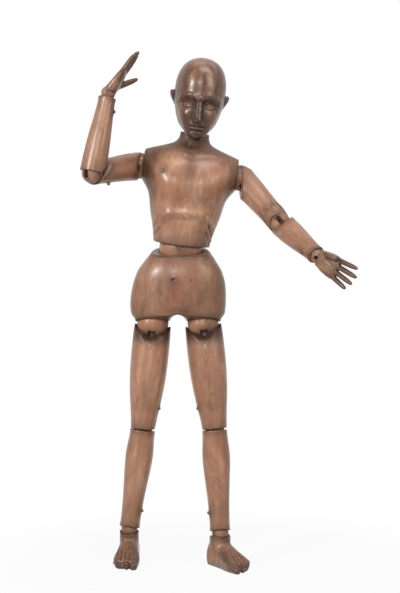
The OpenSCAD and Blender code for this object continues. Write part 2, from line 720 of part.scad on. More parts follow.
module torso_wood() {
    h = torso_rise;
    face = chest_w / 2;
    difference() {
        union() {
            carved([
                [h - 2, neck_w * 0.5, neck_w * 0.5, neck_w * 0.5, 0, 0],
                [h * 0.93, neck_w * 0.5, neck_w * 0.48, neck_w * 0.55, 0, 0],
                [h * 0.875, neck_w * 0.6, neck_w * 0.53, neck_w * 0.66, 0, 1],
                [h * 0.83, chest_w * 0.33, chest_d * 0.29, chest_d * 0.35, 0, 2],
                [h * 0.785, chest_w * 0.5, chest_d * 0.35, chest_d * 0.42, 0, 2],
                [h * 0.73, chest_w * 0.56, chest_d * 0.42, chest_d * 0.47, 0, 1],
                [h * 0.63, chest_w * 0.565, chest_d * 0.48, chest_d * 0.5, 0, 0],
                [h * 0.53, chest_w * 0.51, chest_d * 0.5, chest_d * 0.48, 0, 0],
                [h * 0.44, chest_w * 0.42, chest_d * 0.5, chest_d * 0.45, 0, 0],
                [h * 0.29, chest_w * 0.38, chest_d * 0.46, chest_d * 0.42, 0, 0],
                [h * 0.13, waist_w * 0.55, waist_d * 0.55, waist_d * 0.53, 0, 0],
                [-4, waist_w * 0.49, waist_d * 0.5, waist_d * 0.49, 0, 0]
            ], 26, 40, marks = concat(
                mirrored([
                    [chest_w * 0.19, h * 0.54, chest_w * 0.16, h * 0.1, 4, -1],
                    [chest_w * 0.2, h * 0.3, chest_w * 0.12, h * 0.1, 2, -1],
                    [chest_w * 0.22, h * 0.63, chest_w * 0.15, h * 0.12, 4, 1],
                    [chest_w * 0.12, h * 0.8, chest_w * 0.14, h * 0.03, 1.5, -1]
                ]),
                [
                    [0, h * 0.58, chest_w * 0.04, h * 0.14, -2.5, -1],
                    [0, h * 0.3, chest_w * 0.05, h * 0.1, -2, -1],
                    [0, h * 0.845, chest_w * 0.07, h * 0.03, -3, -1],
                    [0, h * 0.5, chest_w * 0.05, h * 0.3, -4, 1]
                ]
            ));
        }
        for (s = [-1, 1])
            translate([s * (face + reach / 2), 0, h * 0.52 + reach / 2])
                cube(reach, center = true);
        below(6, 90, 8);
        sphere(d = waist_ball_d + 2 * turn_gap);
        translate([0, 0, h]) {
            above(6);
            above(6, -90, 18);
            above(6, 90, 16);
        }
        translate([0, 0, h])
            rotate([180, 0, 0]) {
                swivel_room(neck_ball_d, neck_peg_down);
                peg_hole(neck_ball_d, neck_peg_down, 90, neck_w / 2);
            }
        for (s = [-1, 1])
            translate([s * shoulder_spacing / 2, 0, shoulder_rise])
                rotate([0, -90 * s, 0]) {
                    swivel_room(shoulder_ball_d, shoulder_peg_in);
                    peg_hole(shoulder_ball_d, shoulder_peg_in, s * 90, chest_d / 2);
                }
    }
}

module torso_piece() {
    torso_wood();
    rotate([0, 180, 90])
        tongue(waist_ball_d);
}

module pelvis_wood() {
    h = pelvis_rise;
    difference() {
        carved([
            [h + 12, waist_w * 0.46, waist_d * 0.47, waist_d * 0.47, waist_shift, 0],
            [h * 0.97, waist_w * 0.51, waist_d * 0.53, waist_d * 0.52, waist_shift, 0],
            [h * 0.87, pelvis_w * 0.35, pelvis_d * 0.41, pelvis_d * 0.42, waist_shift * 0.9, 0],
            [h * 0.74, pelvis_w * 0.41, pelvis_d * 0.45, pelvis_d * 0.47, waist_shift * 0.6, 0],
            [h * 0.52, pelvis_w * 0.465, pelvis_d * 0.46, pelvis_d * 0.53, waist_shift * 0.4, 1],
            [h * 0.28, pelvis_w * 0.497, pelvis_d * 0.43, pelvis_d * 0.55, 0, 2],
            [h * 0.1, pelvis_w * 0.485, pelvis_d * 0.4, pelvis_d * 0.5, 0, 2],
            [-6, pelvis_w * 0.43, pelvis_d * 0.36, pelvis_d * 0.4, 0, 0]
        ], 16, 36, 2.4, concat(
            mirrored([
                [pelvis_w * 0.2, h * 0.25, pelvis_w * 0.16, h * 0.22, 4, 1],
                [pelvis_w * 0.3, h * 0.22, pelvis_w * 0.07, h * 0.2, -2.5, -1]
            ]),
            [
                [0, h * 0.2, pelvis_w * 0.05, h * 0.3, -6, 1],
                [0, h * 0.52, pelvis_w * 0.2, h * 0.22, 3, -1],
                [0, h * 0.1, pelvis_w * 0.1, h * 0.16, 3, -1]
            ]
        ));
        below(2);
        below(2, -90, 14);
        below(2, 90, 10);
        translate([0, 0, -4])
            rotate([90, 0, 0])
                cylinder(d = hip_spacing * 0.27, h = reach, center = true);
        translate([waist_shift, 0, h]) {
            above(4, -90, 15);
            rotate([180, 0, 0]) {
                swivel_room(waist_ball_d, waist_peg_down);
                peg_hole(waist_ball_d, waist_peg_down, 90, pelvis_d / 2);
            }
        }
    }
}

module hip_room(peg_side) {
    swivel_room(hip_ball_d, hip_peg_up);
    peg_hole(hip_ball_d, hip_peg_up, peg_side, pelvis_w / 2);
}

// Head: egg-shaped skull with brow, eyes, nose, mouth, chin and ears
module ear() {
    carved([
        [head_rise * 0.11, 2, 2, 3, 0, 2],
        [head_rise * 0.07, 2.6, 5, 5, 1.5, 1],
        [0, 2.6, 5, 5, 1, 0],
        [-head_rise * 0.1, 1.6, 2.5, 2.5, -1, -1]
    ], 4, 10);
}

module head_wood() {
    h = head_rise;
    w = head_w / 2;
    d = head_d / 2;
    difference() {
        union() {
            carved([
                [h, w * 0.05, d * 0.05, d * 0.06, 0, 1],
                [h * 0.985, w * 0.3, d * 0.3, d * 0.32, 0, 1],
                [h * 0.93, w * 0.6, d * 0.58, d * 0.6, 0, 1],
                [h * 0.83, w * 0.83, d * 0.8, d * 0.84, 0, 1],
                [h * 0.68, w * 0.97, d * 0.94, d * 1.0, 0, 1],
                [h * 0.52, w, d * 0.97, d * 1.0, 0, 1],
                [h * 0.38, w * 0.97, d * 0.95, d * 0.93, 0, 0],
                [h * 0.25, w * 0.88, d * 0.94, d * 0.75, 0, 0],
                [h * 0.12, w * 0.73, d * 0.92, d * 0.52, 0, 0],
                [0, w * 0.5, d * 0.88, d * 0.3, 0, 0],
                [-h * 0.055, w * 0.32, d * 0.5, d * 0.2, 0, -d * 0.34],
                [-h * 0.075, w * 0.12, d * 0.2, d * 0.15, 0, -d * 0.5]
            ], 28, 44, 2.1, concat(
                mirrored([
                    [w * 0.47, h * 0.42, w * 0.22, h * 0.055, -4.5, -1],
                    [w * 0.48, h * 0.415, w * 0.16, h * 0.032, 3.2, -1],
                    [w * 0.4, h * 0.5, w * 0.32, h * 0.03, 1.6, -1],
                    [w * 0.15, h * 0.215, w * 0.09, h * 0.025, 2.5, -1],
                    [w * 0.58, h * 0.28, w * 0.24, h * 0.1, 1.5, -1]
                ]),
                [
                    [0, h * 0.23, w * 0.13, h * 0.06, 5.5, -1],
                    [0, h * 0.34, w * 0.1, h * 0.11, 4.5, -1],
                    [0, h * 0.145, w * 0.22, h * 0.02, 2.2, -1],
                    [0, h * 0.115, w * 0.28, h * 0.01, -2.2, -1],
                    [0, h * 0.088, w * 0.2, h * 0.02, 2.4, -1],
                    [0, -h * 0.01, w * 0.25, h * 0.04, 3, -1]
                ]
            ));
            for (s = [-1, 1])
                translate([s * w * 0.99, head_d * 0.03, h * 0.4])
                    mirror([s < 0 ? 1 : 0, 0, 0])
                        rotate([0, 14, -28])
                            ear();
        }
        sphere(d = neck_ball_d + 2 * turn_gap);
        translate([0, 0, -h * 0.2])
            cylinder(d1 = neck_w * 1.8, d2 = neck_ball_d, h = h * 0.25);
    }
}

module head_piece() {
    head_wood();
    rotate([0, 180, 0])
        tongue(neck_ball_d);
}

// Nodes in the shared frame

wood = [0.6, 0.45, 0.34];
ball_wood = [0.66, 0.5, 0.38];
dark_wood = [0.4, 0.27, 0.19];

module pelvis() color(wood) difference() {
    put(pelvis_frame)
        pelvis_wood();
    put(left_hip_spindle)
        hip_room(0);
    put(right_hip_spindle)
        hip_room(0);
}

module torso() color(wood) put(torso_frame) torso_piece();
module head() color(wood) put(head_frame) head_piece();

module left_upper_arm() color(wood) difference() {
    put(left_upper_arm_frame)
        upper_arm_wood();
    put(left_shoulder_hinge)
        shoulder_end_cut();
}

module right_upper_arm() color(wood) difference() {
    put(right_upper_arm_frame)
        upper_arm_wood();
    put(right_shoulder_hinge)
        shoulder_end_cut();
}

module left_forearm() color(wood) put(left_forearm_frame) forearm();
module right_forearm() color(wood) put(right_forearm_frame) forearm();
module left_hand() color(wood) put(left_hand_frame) left_hand_piece();
module right_hand() color(wood) put(right_hand_frame) right_hand_piece();
module left_thigh() color(wood) put(left_thigh_frame) thigh_wood();
module right_thigh() color(wood) put(right_thigh_frame) thigh_wood();
module left_shin() color(wood) put(left_shin_frame) shin_wood();
module right_shin() color(wood) put(right_shin_frame) shin_wood();
module left_foot() color(wood) put(left_foot_frame) foot();
module right_foot() color(wood) put(right_foot_frame) foot();

module waist_ball() color(ball_wood)
    ball(waist_ball_d, waist_peg_down, waist_lean, waist_spindle, waist_hinge);
module neck_ball() color(ball_wood)
    ball(neck_ball_d, neck_peg_down, neck_nod, neck_spindle, neck_hinge);
module left_shoulder_ball() color(ball_wood)
    ball(shoulder_ball_d, shoulder_peg_in, shoulder_raise, left_shoulder_spindle, left_shoulder_hinge);
module right_shoulder_ball() color(ball_wood)
    ball(shoulder_ball_d, shoulder_peg_in, shoulder_raise, right_shoulder_spindle, right_shoulder_hinge);
module left_elbow_ball() color(ball_wood)
    ball(elbow_ball_d, upper_arm_peg_up, left_elbow_swing, left_elbow_spindle, left_forearm_frame);
module right_elbow_ball() color(ball_wood)
    ball(elbow_ball_d, upper_arm_peg_up, right_elbow_swing, right_elbow_spindle, right_forearm_frame);
module left_wrist_ball() color(ball_wood)
    ball(wrist_ball_d, forearm_peg_up, left_wrist_swing, left_wrist_spindle, left_hand_frame);
module right_wrist_ball() color(ball_wood)
    ball(wrist_ball_d, forearm_peg_up, right_wrist_swing, right_wrist_spindle, right_hand_frame);
module left_hip_ball() color(ball_wood)
    ball(hip_ball_d, hip_peg_up, hip_swing, left_hip_spindle, left_thigh_frame);
module right_hip_ball() color(ball_wood)
    ball(hip_ball_d, hip_peg_up, hip_swing, right_hip_spindle, right_thigh_frame);
module left_knee_ball() color(ball_wood)
    ball(knee_ball_d, thigh_peg_up, [-knee_bend[1], knee_bend[0]], left_knee_spindle, left_shin_frame);
module right_knee_ball() color(ball_wood)
    ball(knee_ball_d, thigh_peg_up, [-knee_bend[1], knee_bend[0]], right_knee_spindle, right_shin_frame);
module left_ankle_ball() color(ball_wood)
    ball(ankle_ball_d, shin_peg_up, ankle_pitch, left_ankle_spindle, left_foot_frame);
module right_ankle_ball() color(ball_wood)
    ball(ankle_ball_d, shin_peg_up, ankle_pitch, right_ankle_spindle, right_foot_frame);

module waist_pin() color(dark_wood) put(waist_hinge) cross_pin(waist_ball_d);
module neck_pin() color(dark_wood) put(neck_hinge) cross_pin(neck_ball_d);
module left_shoulder_pin() color(dark_wood) put(left_shoulder_hinge) cross_pin(shoulder_ball_d);
module right_shoulder_pin() color(dark_wood) put(right_shoulder_hinge) cross_pin(shoulder_ball_d);
module left_elbow_pin() color(dark_wood) put(left_forearm_frame) cross_pin(elbow_ball_d);
module right_elbow_pin() color(dark_wood) put(right_forearm_frame) cross_pin(elbow_ball_d);
module left_wrist_pin() color(dark_wood) put(left_hand_frame) cross_pin(wrist_ball_d);
module right_wrist_pin() color(dark_wood) put(right_hand_frame) cross_pin(wrist_ball_d);
module left_hip_pin() color(dark_wood) put(left_thigh_frame) cross_pin(hip_ball_d);
module right_hip_pin() color(dark_wood) put(right_thigh_frame) cross_pin(hip_ball_d);
module left_knee_pin() color(dark_wood) put(left_shin_frame) cross_pin(knee_ball_d);
module right_knee_pin() color(dark_wood) put(right_shin_frame) cross_pin(knee_ball_d);
module left_ankle_pin() color(dark_wood) put(left_foot_frame) cross_pin(ankle_ball_d);
module right_ankle_pin() color(dark_wood) put(right_foot_frame) cross_pin(ankle_ball_d);

module left_upper_arm_tongue() color(ball_wood) put(left_shoulder_hinge) tongue(shoulder_ball_d);
module right_upper_arm_tongue() color(ball_wood) put(right_shoulder_hinge) tongue(shoulder_ball_d);
module left_thigh_tongue() color(ball_wood) put(left_thigh_frame) tongue(hip_ball_d);
module right_thigh_tongue() color(ball_wood) put(right_thigh_frame) tongue(hip_ball_d);
module left_shin_tongue() color(ball_wood) put(left_shin_frame) tongue(knee_ball_d);
module right_shin_tongue() color(ball_wood) put(right_shin_frame) tongue(knee_ball_d);

module pelvis_pegs() color(dark_wood) {
    put(waist_spindle)
        peg(waist_ball_d, waist_peg_down, 90, pelvis_d * 0.42);
    put(left_hip_spindle)
        peg(hip_ball_d, hip_peg_up, 0, pelvis_w * 0.24);
    put(right_hip_spindle)
        peg(hip_ball_d, hip_peg_up, 0, pelvis_w * 0.24);
}

module torso_pegs() color(dark_wood) put(torso_frame) {
    translate([0, 0, torso_rise])
        rotate([180, 0, 0])
            peg(neck_ball_d, neck_peg_down, 90, neck_w * 0.5);
    for (s = [-1, 1])
        translate([s * shoulder_spacing / 2, 0, shoulder_rise])
            rotate([0, -90 * s, 0])
                peg(shoulder_ball_d, shoulder_peg_in, s * 90, chest_d * 0.42);
}

module left_upper_arm_peg() color(dark_wood)
    put(left_elbow_spindle) peg(elbow_ball_d, upper_arm_peg_up, 90, upper_arm_w * 0.42);
module right_upper_arm_peg() color(dark_wood)
    put(right_elbow_spindle) peg(elbow_ball_d, upper_arm_peg_up, 90, upper_arm_w * 0.42);
module left_forearm_peg() color(dark_wood)
    put(left_wrist_spindle) peg(wrist_ball_d, forearm_peg_up, 180, wrist_w * 0.5);
module right_forearm_peg() color(dark_wood)
    put(right_wrist_spindle) peg(wrist_ball_d, forearm_peg_up, 180, wrist_w * 0.5);
module left_thigh_peg() color(dark_wood)
    put(left_knee_spindle) peg(knee_ball_d, thigh_peg_up, 180, thigh_w * 0.38);
module right_thigh_peg() color(dark_wood)
    put(right_knee_spindle) peg(knee_ball_d, thigh_peg_up, 180, thigh_w * 0.38);
module left_shin_peg() color(dark_wood)
    put(left_ankle_spindle) peg(ankle_ball_d, shin_peg_up, 180, ankle_w * 0.5);
module right_shin_peg() color(dark_wood)
    put(right_ankle_spindle) peg(ankle_ball_d, shin_peg_up, 180, ankle_w * 0.5);

pelvis();
torso();
head();
left_upper_arm();
left_forearm();
left_hand();
left_thigh();
left_shin();
left_foot();
right_upper_arm();
right_forearm();
right_hand();
right_thigh();
right_shin();
right_foot();
waist_ball();
neck_ball();
left_shoulder_ball();
left_elbow_ball();
left_wrist_ball();
left_hip_ball();
left_knee_ball();
left_ankle_ball();
right_shoulder_ball();
right_elbow_ball();
right_wrist_ball();
right_hip_ball();
right_knee_ball();
right_ankle_ball();
waist_pin();
neck_pin();
left_shoulder_pin();
left_elbow_pin();
left_wrist_pin();
left_hip_pin();
left_knee_pin();
left_ankle_pin();
right_shoulder_pin();
right_elbow_pin();
right_wrist_pin();
right_hip_pin();
right_knee_pin();
right_ankle_pin();
left_upper_arm_tongue();
left_thigh_tongue();
left_shin_tongue();
right_upper_arm_tongue();
right_thigh_tongue();
right_shin_tongue();
pelvis_pegs();
torso_pegs();
left_upper_arm_peg();
left_forearm_peg();
left_thigh_peg();
left_shin_peg();
right_upper_arm_peg();
right_forearm_peg();
right_thigh_peg();
right_shin_peg();
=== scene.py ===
"""Looks of a carved wooden lay figure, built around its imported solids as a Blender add-on."""

import json
import math

import bmesh
import bpy
from bpy.props import FloatProperty, FloatVectorProperty, IntProperty, PointerProperty
from mathutils import Matrix, Vector
from mathutils.bvhtree import BVHTree
from mathutils.kdtree import KDTree
import numpy as np


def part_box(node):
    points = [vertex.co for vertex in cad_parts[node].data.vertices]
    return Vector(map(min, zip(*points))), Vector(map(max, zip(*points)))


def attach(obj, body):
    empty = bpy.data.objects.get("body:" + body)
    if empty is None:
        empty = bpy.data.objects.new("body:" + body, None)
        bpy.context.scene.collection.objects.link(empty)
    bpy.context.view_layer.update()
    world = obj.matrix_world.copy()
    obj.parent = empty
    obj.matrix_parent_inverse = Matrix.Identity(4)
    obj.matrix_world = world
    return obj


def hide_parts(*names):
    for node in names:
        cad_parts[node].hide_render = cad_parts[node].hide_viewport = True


bl_info = {
    "name": "Carved lay figure",
    "version": (1, 0, 0),
    "blender": (4, 5, 0),
    "location": "View3D > Sidebar > Lay figure",
    "description": "Carves, stains and stages a jointed wooden lay figure around its solids",
    "category": "Object",
}

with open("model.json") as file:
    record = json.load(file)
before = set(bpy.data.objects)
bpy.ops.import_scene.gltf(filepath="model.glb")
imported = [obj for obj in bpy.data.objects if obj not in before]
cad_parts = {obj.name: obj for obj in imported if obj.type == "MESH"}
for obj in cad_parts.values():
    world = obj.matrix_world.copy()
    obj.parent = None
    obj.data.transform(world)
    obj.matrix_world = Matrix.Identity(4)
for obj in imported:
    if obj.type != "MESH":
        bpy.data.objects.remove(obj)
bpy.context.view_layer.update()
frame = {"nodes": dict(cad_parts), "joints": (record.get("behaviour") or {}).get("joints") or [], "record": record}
JOINTS = {j["name"]: j for j in frame["joints"]}
BODY_OF = {n: b for b, ns in frame["record"]["behaviour"]["bodies"].items() for n in ns}
MM = 0.001
SIDES = (("left", 1), ("right", -1))
HAND_AIM = {"left": Vector((40.7, -48, -32.6)), "right": Vector((42, 0, 58))}
PALM_FACES = {"left": Vector((-0.75, -0.67, 0.02)), "right": Vector((0.8, 0, -0.6))}
HEAD_NOD = math.radians(12)
FRONT_START = -120
ROOM_LIGHT = 0.06
FLOOR_SIZE = 3.0
FLOOR_WHITE = 0.93
LIMB_PASSES, HEAD_PASSES, HAND_PASSES, FOOT_PASSES = 90, 60, 22, 36
NEAR_PIECE = 0.002
FACING_AWAY = -0.0001
RIM_CLEAR, RIM_FADE = 0.8, 2.0
RIM_WIDTH, EDGE_WIDTH = 0.9, 6.0
MIX_FACTOR, MIX_A, MIX_B, MIX_RESULT = 0, 6, 7, 2
BALL_NAMES = ["waist", "neck"] + [
    s + "_" + j for s in ("left", "right") for j in ("shoulder", "elbow", "wrist", "hip", "knee", "ankle")
]

# Each noise of the wood: scale along the grain, then scale, detail, roughness and distortion
WOOD_NOISE = {
    "patches": (0.4, 24.0, 3.0, 0.6, 0.5),
    "mottle": (0.4, 110.0, 5.0, 0.65, 0.4),
    "bands": (0.07, 75.0, 3.0, 0.5, 1.0),
    "streaks": (0.04, 330.0, 3.0, 0.6, 0.2),
    "pores": (0.07, 1000.0, 2.0, 0.5, 0.0),
    "specks": (0.5, 300.0, 2.0, 0.5, 0.0),
    "tool": (0.35, 70.0, 2.0, 0.5, 0.0),
    "age": (0.55, 17.0, 5.0, 0.65, 0.8),
    "redder": (0.3, 34.0, 2.0, 0.5, 0.6),
}

# Each lamp: name, place, aim, width and height in metres, and the setting that holds its power
SOFTBOXES = (
    ("left softbox", (-1.3, -1.2, 1.0), (-0.05, 0.05, 0.42), (0.25, 0.36), "key_power"),
    ("right softbox", (1.15, -1.0, 0.95), (0.0, 0.05, 0.42), (0.35, 0.6), "fill_power"),
    ("top softbox", (0.25, -0.5, 1.7), (0.0, 0.05, 0.4), (0.7, 0.5), "top_power"),
    ("front softbox", (-0.2, -1.75, 0.95), (0.0, 0.0, 0.4), (0.18, 0.18), "front_power"),
)


# Places and directions, taken from the joints


def place(joint):
    return Vector(JOINTS[joint]["pos_m"])


def along(joint):
    return Vector(JOINTS[joint]["axis"]).normalized()


def frame_at(origin, up, front, hand=1):
    """Matrix of a piece's own frame: z up the piece, y to its back, x outwards."""
    z = up.normalized()
    y = -(front - front.dot(z) * z).normalized()
    x = hand * y.cross(z)
    m = Matrix.Identity(4)
    for i, axis in enumerate((x, y, z, origin)):
        m.col[i][:3] = axis
    return m


def piece_frames():
    ahead = Vector((0, -1, 0))
    sky = Vector((0, 0, 1))
    out = {}
    hips = (place("left_hip_swing") + place("right_hip_swing")) / 2
    out["pelvis"] = frame_at(hips, sky, ahead)
    torso_up = -along("neck_turn")
    out["torso"] = frame_at(place("waist_lean"), torso_up, ahead)
    nod = along("neck_nod")
    head_up = Matrix.Rotation(HEAD_NOD, 3, nod) @ torso_up
    out["head"] = frame_at(place("neck_nod"), head_up, head_up.cross(nod) * -1)
    for side, hand in SIDES:
        shoulder = place(side + "_shoulder_raise")
        elbow = place(side + "_elbow_bend")
        wrist = place(side + "_wrist_bend")
        hip = place(side + "_hip_swing")
        knee = place(side + "_knee_bend")
        ankle = place(side + "_ankle_pitch")
        fold = (wrist - elbow).normalized() - (elbow - shoulder).normalized()
        toes = sky.cross(along(side + "_ankle_pitch"))
        out[side + "_upper_arm"] = frame_at(shoulder, shoulder - elbow, fold, hand)
        out[side + "_forearm"] = frame_at(elbow, elbow - wrist, fold, hand)
        out[side + "_hand"] = frame_at(wrist, -HAND_AIM[side], PALM_FACES[side], hand)
        out[side + "_thigh"] = frame_at(hip, hip - knee, ahead, hand)
        out[side + "_shin"] = frame_at(knee, knee - ankle, ahead, hand)
        out[side + "_foot"] = frame_at(ankle, sky, toes if toes.dot(ahead) > 0 else -toes, hand)
    for name in BALL_NAMES:
        spin = [j for j in frame["joints"] if j["child"] == name + "_ball"][0]
        axis = Vector(spin["axis"])
        out[name + "_ball"] = frame_at(Vector(spin["pos_m"]), axis, axis.orthogonal())
    return out


FRAMES = piece_frames()


# Sizes and colours that a user would change


class FigureShape(bpy.types.PropertyGroup):
    """How finely the wood is carved and how worn its edges are."""

    trunk_grain: FloatProperty(
        name="Trunk fineness", description="Spacing of the carved surface on trunk and legs",
        default=0.0013, unit="LENGTH", subtype="DISTANCE")
    limb_grain: FloatProperty(
        name="Limb fineness", description="Spacing of the carved surface on the arms",
        default=0.0011, unit="LENGTH", subtype="DISTANCE")
    fine_grain: FloatProperty(
        name="Hand fineness", description="Spacing of the carved surface on hands, feet and head",
        default=0.0006, unit="LENGTH", subtype="DISTANCE")
    rim_keep: FloatProperty(
        name="Rim kept", description="Width beside a rim that is left crisp",
        default=0.0016, unit="LENGTH", subtype="DISTANCE")
    fit_keep: FloatProperty(
        name="Fit kept", description="Distance to another piece within which a face keeps its fit",
        default=0.0012, unit="LENGTH", subtype="DISTANCE")
    edge_wear: IntProperty(
        name="Edge wear", description="Passes that round every edge", default=2, min=0, max=8)
    relief: FloatProperty(
        name="Relief", description="Strength of the carved relief", default=1.0, min=0.0, max=2.0)


class FigureFinish(bpy.types.PropertyGroup):
    """Stain, patina, painted shade and polish."""

    wood_light: FloatVectorProperty(
        name="Light wood", description="Wood where polish has worn the stain thin",
        subtype="COLOR", size=3, default=(0.46, 0.26, 0.16))
    wood_mid: FloatVectorProperty(
        name="Stained wood", description="Body colour of the stained wood",
        subtype="COLOR", size=3, default=(0.28, 0.14, 0.081))
    wood_dark: FloatVectorProperty(
        name="Dark streaks", description="Dark streaks along the grain",
        subtype="COLOR", size=3, default=(0.115, 0.05, 0.028))
    wood_red: FloatVectorProperty(
        name="Red cast", description="Reddish patches in the wood",
        subtype="COLOR", size=3, default=(0.29, 0.105, 0.044))
    # Old wax and dirt; the same colour also paints the shade in hollows and marked strokes, and a thin dark line
    # along the rims.
    dirt_and_shade: FloatVectorProperty(
        name="Old wax", description="Wax and dirt in hollows and along rims",
        subtype="COLOR", size=3, default=(0.04, 0.02, 0.014))
    peg_wood: FloatVectorProperty(
        name="Pegs", description="End grain of the pegs and pins",
        subtype="COLOR", size=3, default=(0.19, 0.095, 0.055))
    trunk_pegs: FloatVectorProperty(
        name="Trunk pegs", description="Stained pegs of the trunk, flush with the wood",
        subtype="COLOR", size=3, default=(0.25, 0.122, 0.07))
    polish: FloatProperty(
        name="Polish", description="Weight of the wax coat", default=0.22, min=0.0, max=1.0)


class StudioStage(bpy.types.PropertyGroup):
    """Camera, lamps and floor."""

    camera_back: FloatProperty(
        name="Camera distance", description="Camera in front of the hips",
        default=1.5, unit="LENGTH", subtype="DISTANCE")
    camera_aside: FloatProperty(
        name="Camera aside", description="Camera to the figure's left of the hips",
        default=0.0307, unit="LENGTH", subtype="DISTANCE")
    camera_height: FloatProperty(
        name="Camera height", description="Camera above the floor",
        default=0.369, unit="LENGTH", subtype="DISTANCE")
    lens: FloatProperty(
        name="Lens", description="Focal length on a sensor as tall as the picture",
        default=65.3, unit="CAMERA")
    key_power: FloatProperty(
        name="Key light", description="Power of the left softbox", default=27.0, unit="POWER")
    fill_power: FloatProperty(
        name="Fill light", description="Power of the right softbox", default=7.0, unit="POWER")
    top_power: FloatProperty(
        name="Top light", description="Power of the overhead softbox", default=9.0, unit="POWER")
    front_power: FloatProperty(
        name="Front light", description="Power of the softbox above the camera", default=8.0, unit="POWER")
    floor_color: FloatVectorProperty(
        name="Floor", description="Colour of the floor", subtype="COLOR", size=3, default=(0.6, 0.6, 0.6))


def shape():
    return bpy.context.scene.figure_shape


def finish():
    return bpy.context.scene.figure_finish


def studio():
    return bpy.context.scene.figure_stage


# Shader maths


class Wire:
    """A socket that takes part in Python expressions."""

    def __init__(self, tree, socket):
        self.tree = tree
        self.socket = socket

    def math(self, operation, a, b):
        return wire_node(self.tree, "ShaderNodeMath", {"operation": operation}, 0, {0: a, 1: b})

    def __add__(self, other):
        return self.math("ADD", self, other)

    __radd__ = __add__

    def __sub__(self, other):
        return self.math("SUBTRACT", self, other)

    def __rsub__(self, other):
        return self.math("SUBTRACT", other, self)

    def __mul__(self, other):
        return self.math("MULTIPLY", self, other)

    def clip(self):
        return wire_node(self.tree, "ShaderNodeClamp", None, 0, {"Value": self})

    def step(self, low, high):
        """Smooth step from 0 at low to 1 at high."""
        return wire_node(
            self.tree, "ShaderNodeMapRange", {"interpolation_type": "SMOOTHSTEP"}, 0,
            {"Value": self, "From Min": low, "From Max": high})


def wire_node(tree, kind, settings, out, sockets):
    """A node of that kind, with its settings first and then its sockets' values or links."""
    node = tree.nodes.new(kind)
    for key, value in (settings or {}).items():
        setattr(node, key, value)
    for key, value in sockets.items():
        socket = node.inputs[key]
        if isinstance(value, Wire):
            tree.links.new(value.socket, socket)
        else:
            socket.default_value = value
    return Wire(tree, node.outputs[out])


def blend_color(tree, factor, a, b):
    """Colour a where factor is 0, b where it is 1."""
    node = tree.nodes.new("ShaderNodeMix")
    node.data_type = "RGBA"
    for index, value in ((MIX_FACTOR, factor), (MIX_A, a), (MIX_B, b)):
        socket = node.inputs[index]
        if isinstance(value, Wire):
            tree.links.new(value.socket, socket)
        elif index == MIX_FACTOR:
            socket.default_value = value
        else:
            socket.default_value = tuple(value) + (1.0,)
    return Wire(tree, node.outputs[MIX_RESULT])


def new_material(name):
    mat = bpy.data.materials.new(name)
    mat.use_nodes = True
    tree = mat.node_tree
    return mat, tree, tree.nodes["Principled BSDF"]


def feed(tree, shader, **sockets):
    """Links wires to a shader's sockets; an underscore stands for a space."""
    for key, wire in sockets.items():
        tree.links.new(wire.socket, shader.inputs[key.replace("_", " ")])


def attribute(tree, name, out):
    return wire_node(tree, "ShaderNodeAttribute", {"attribute_name": name}, out, {})


def scaled(tree, vector, factors, shift):
    return wire_node(
        tree, "ShaderNodeMapping", None, 0, {"Vector": vector, "Location": shift, "Scale": factors})


def noise(tree, vector, scale, detail=3.0, rough=0.55, warp=0.0):
    return wire_node(
        tree, "ShaderNodeTexNoise", None, 0,
        {"Vector": vector, "Scale": scale, "Detail": detail, "Roughness": rough, "Distortion": warp})


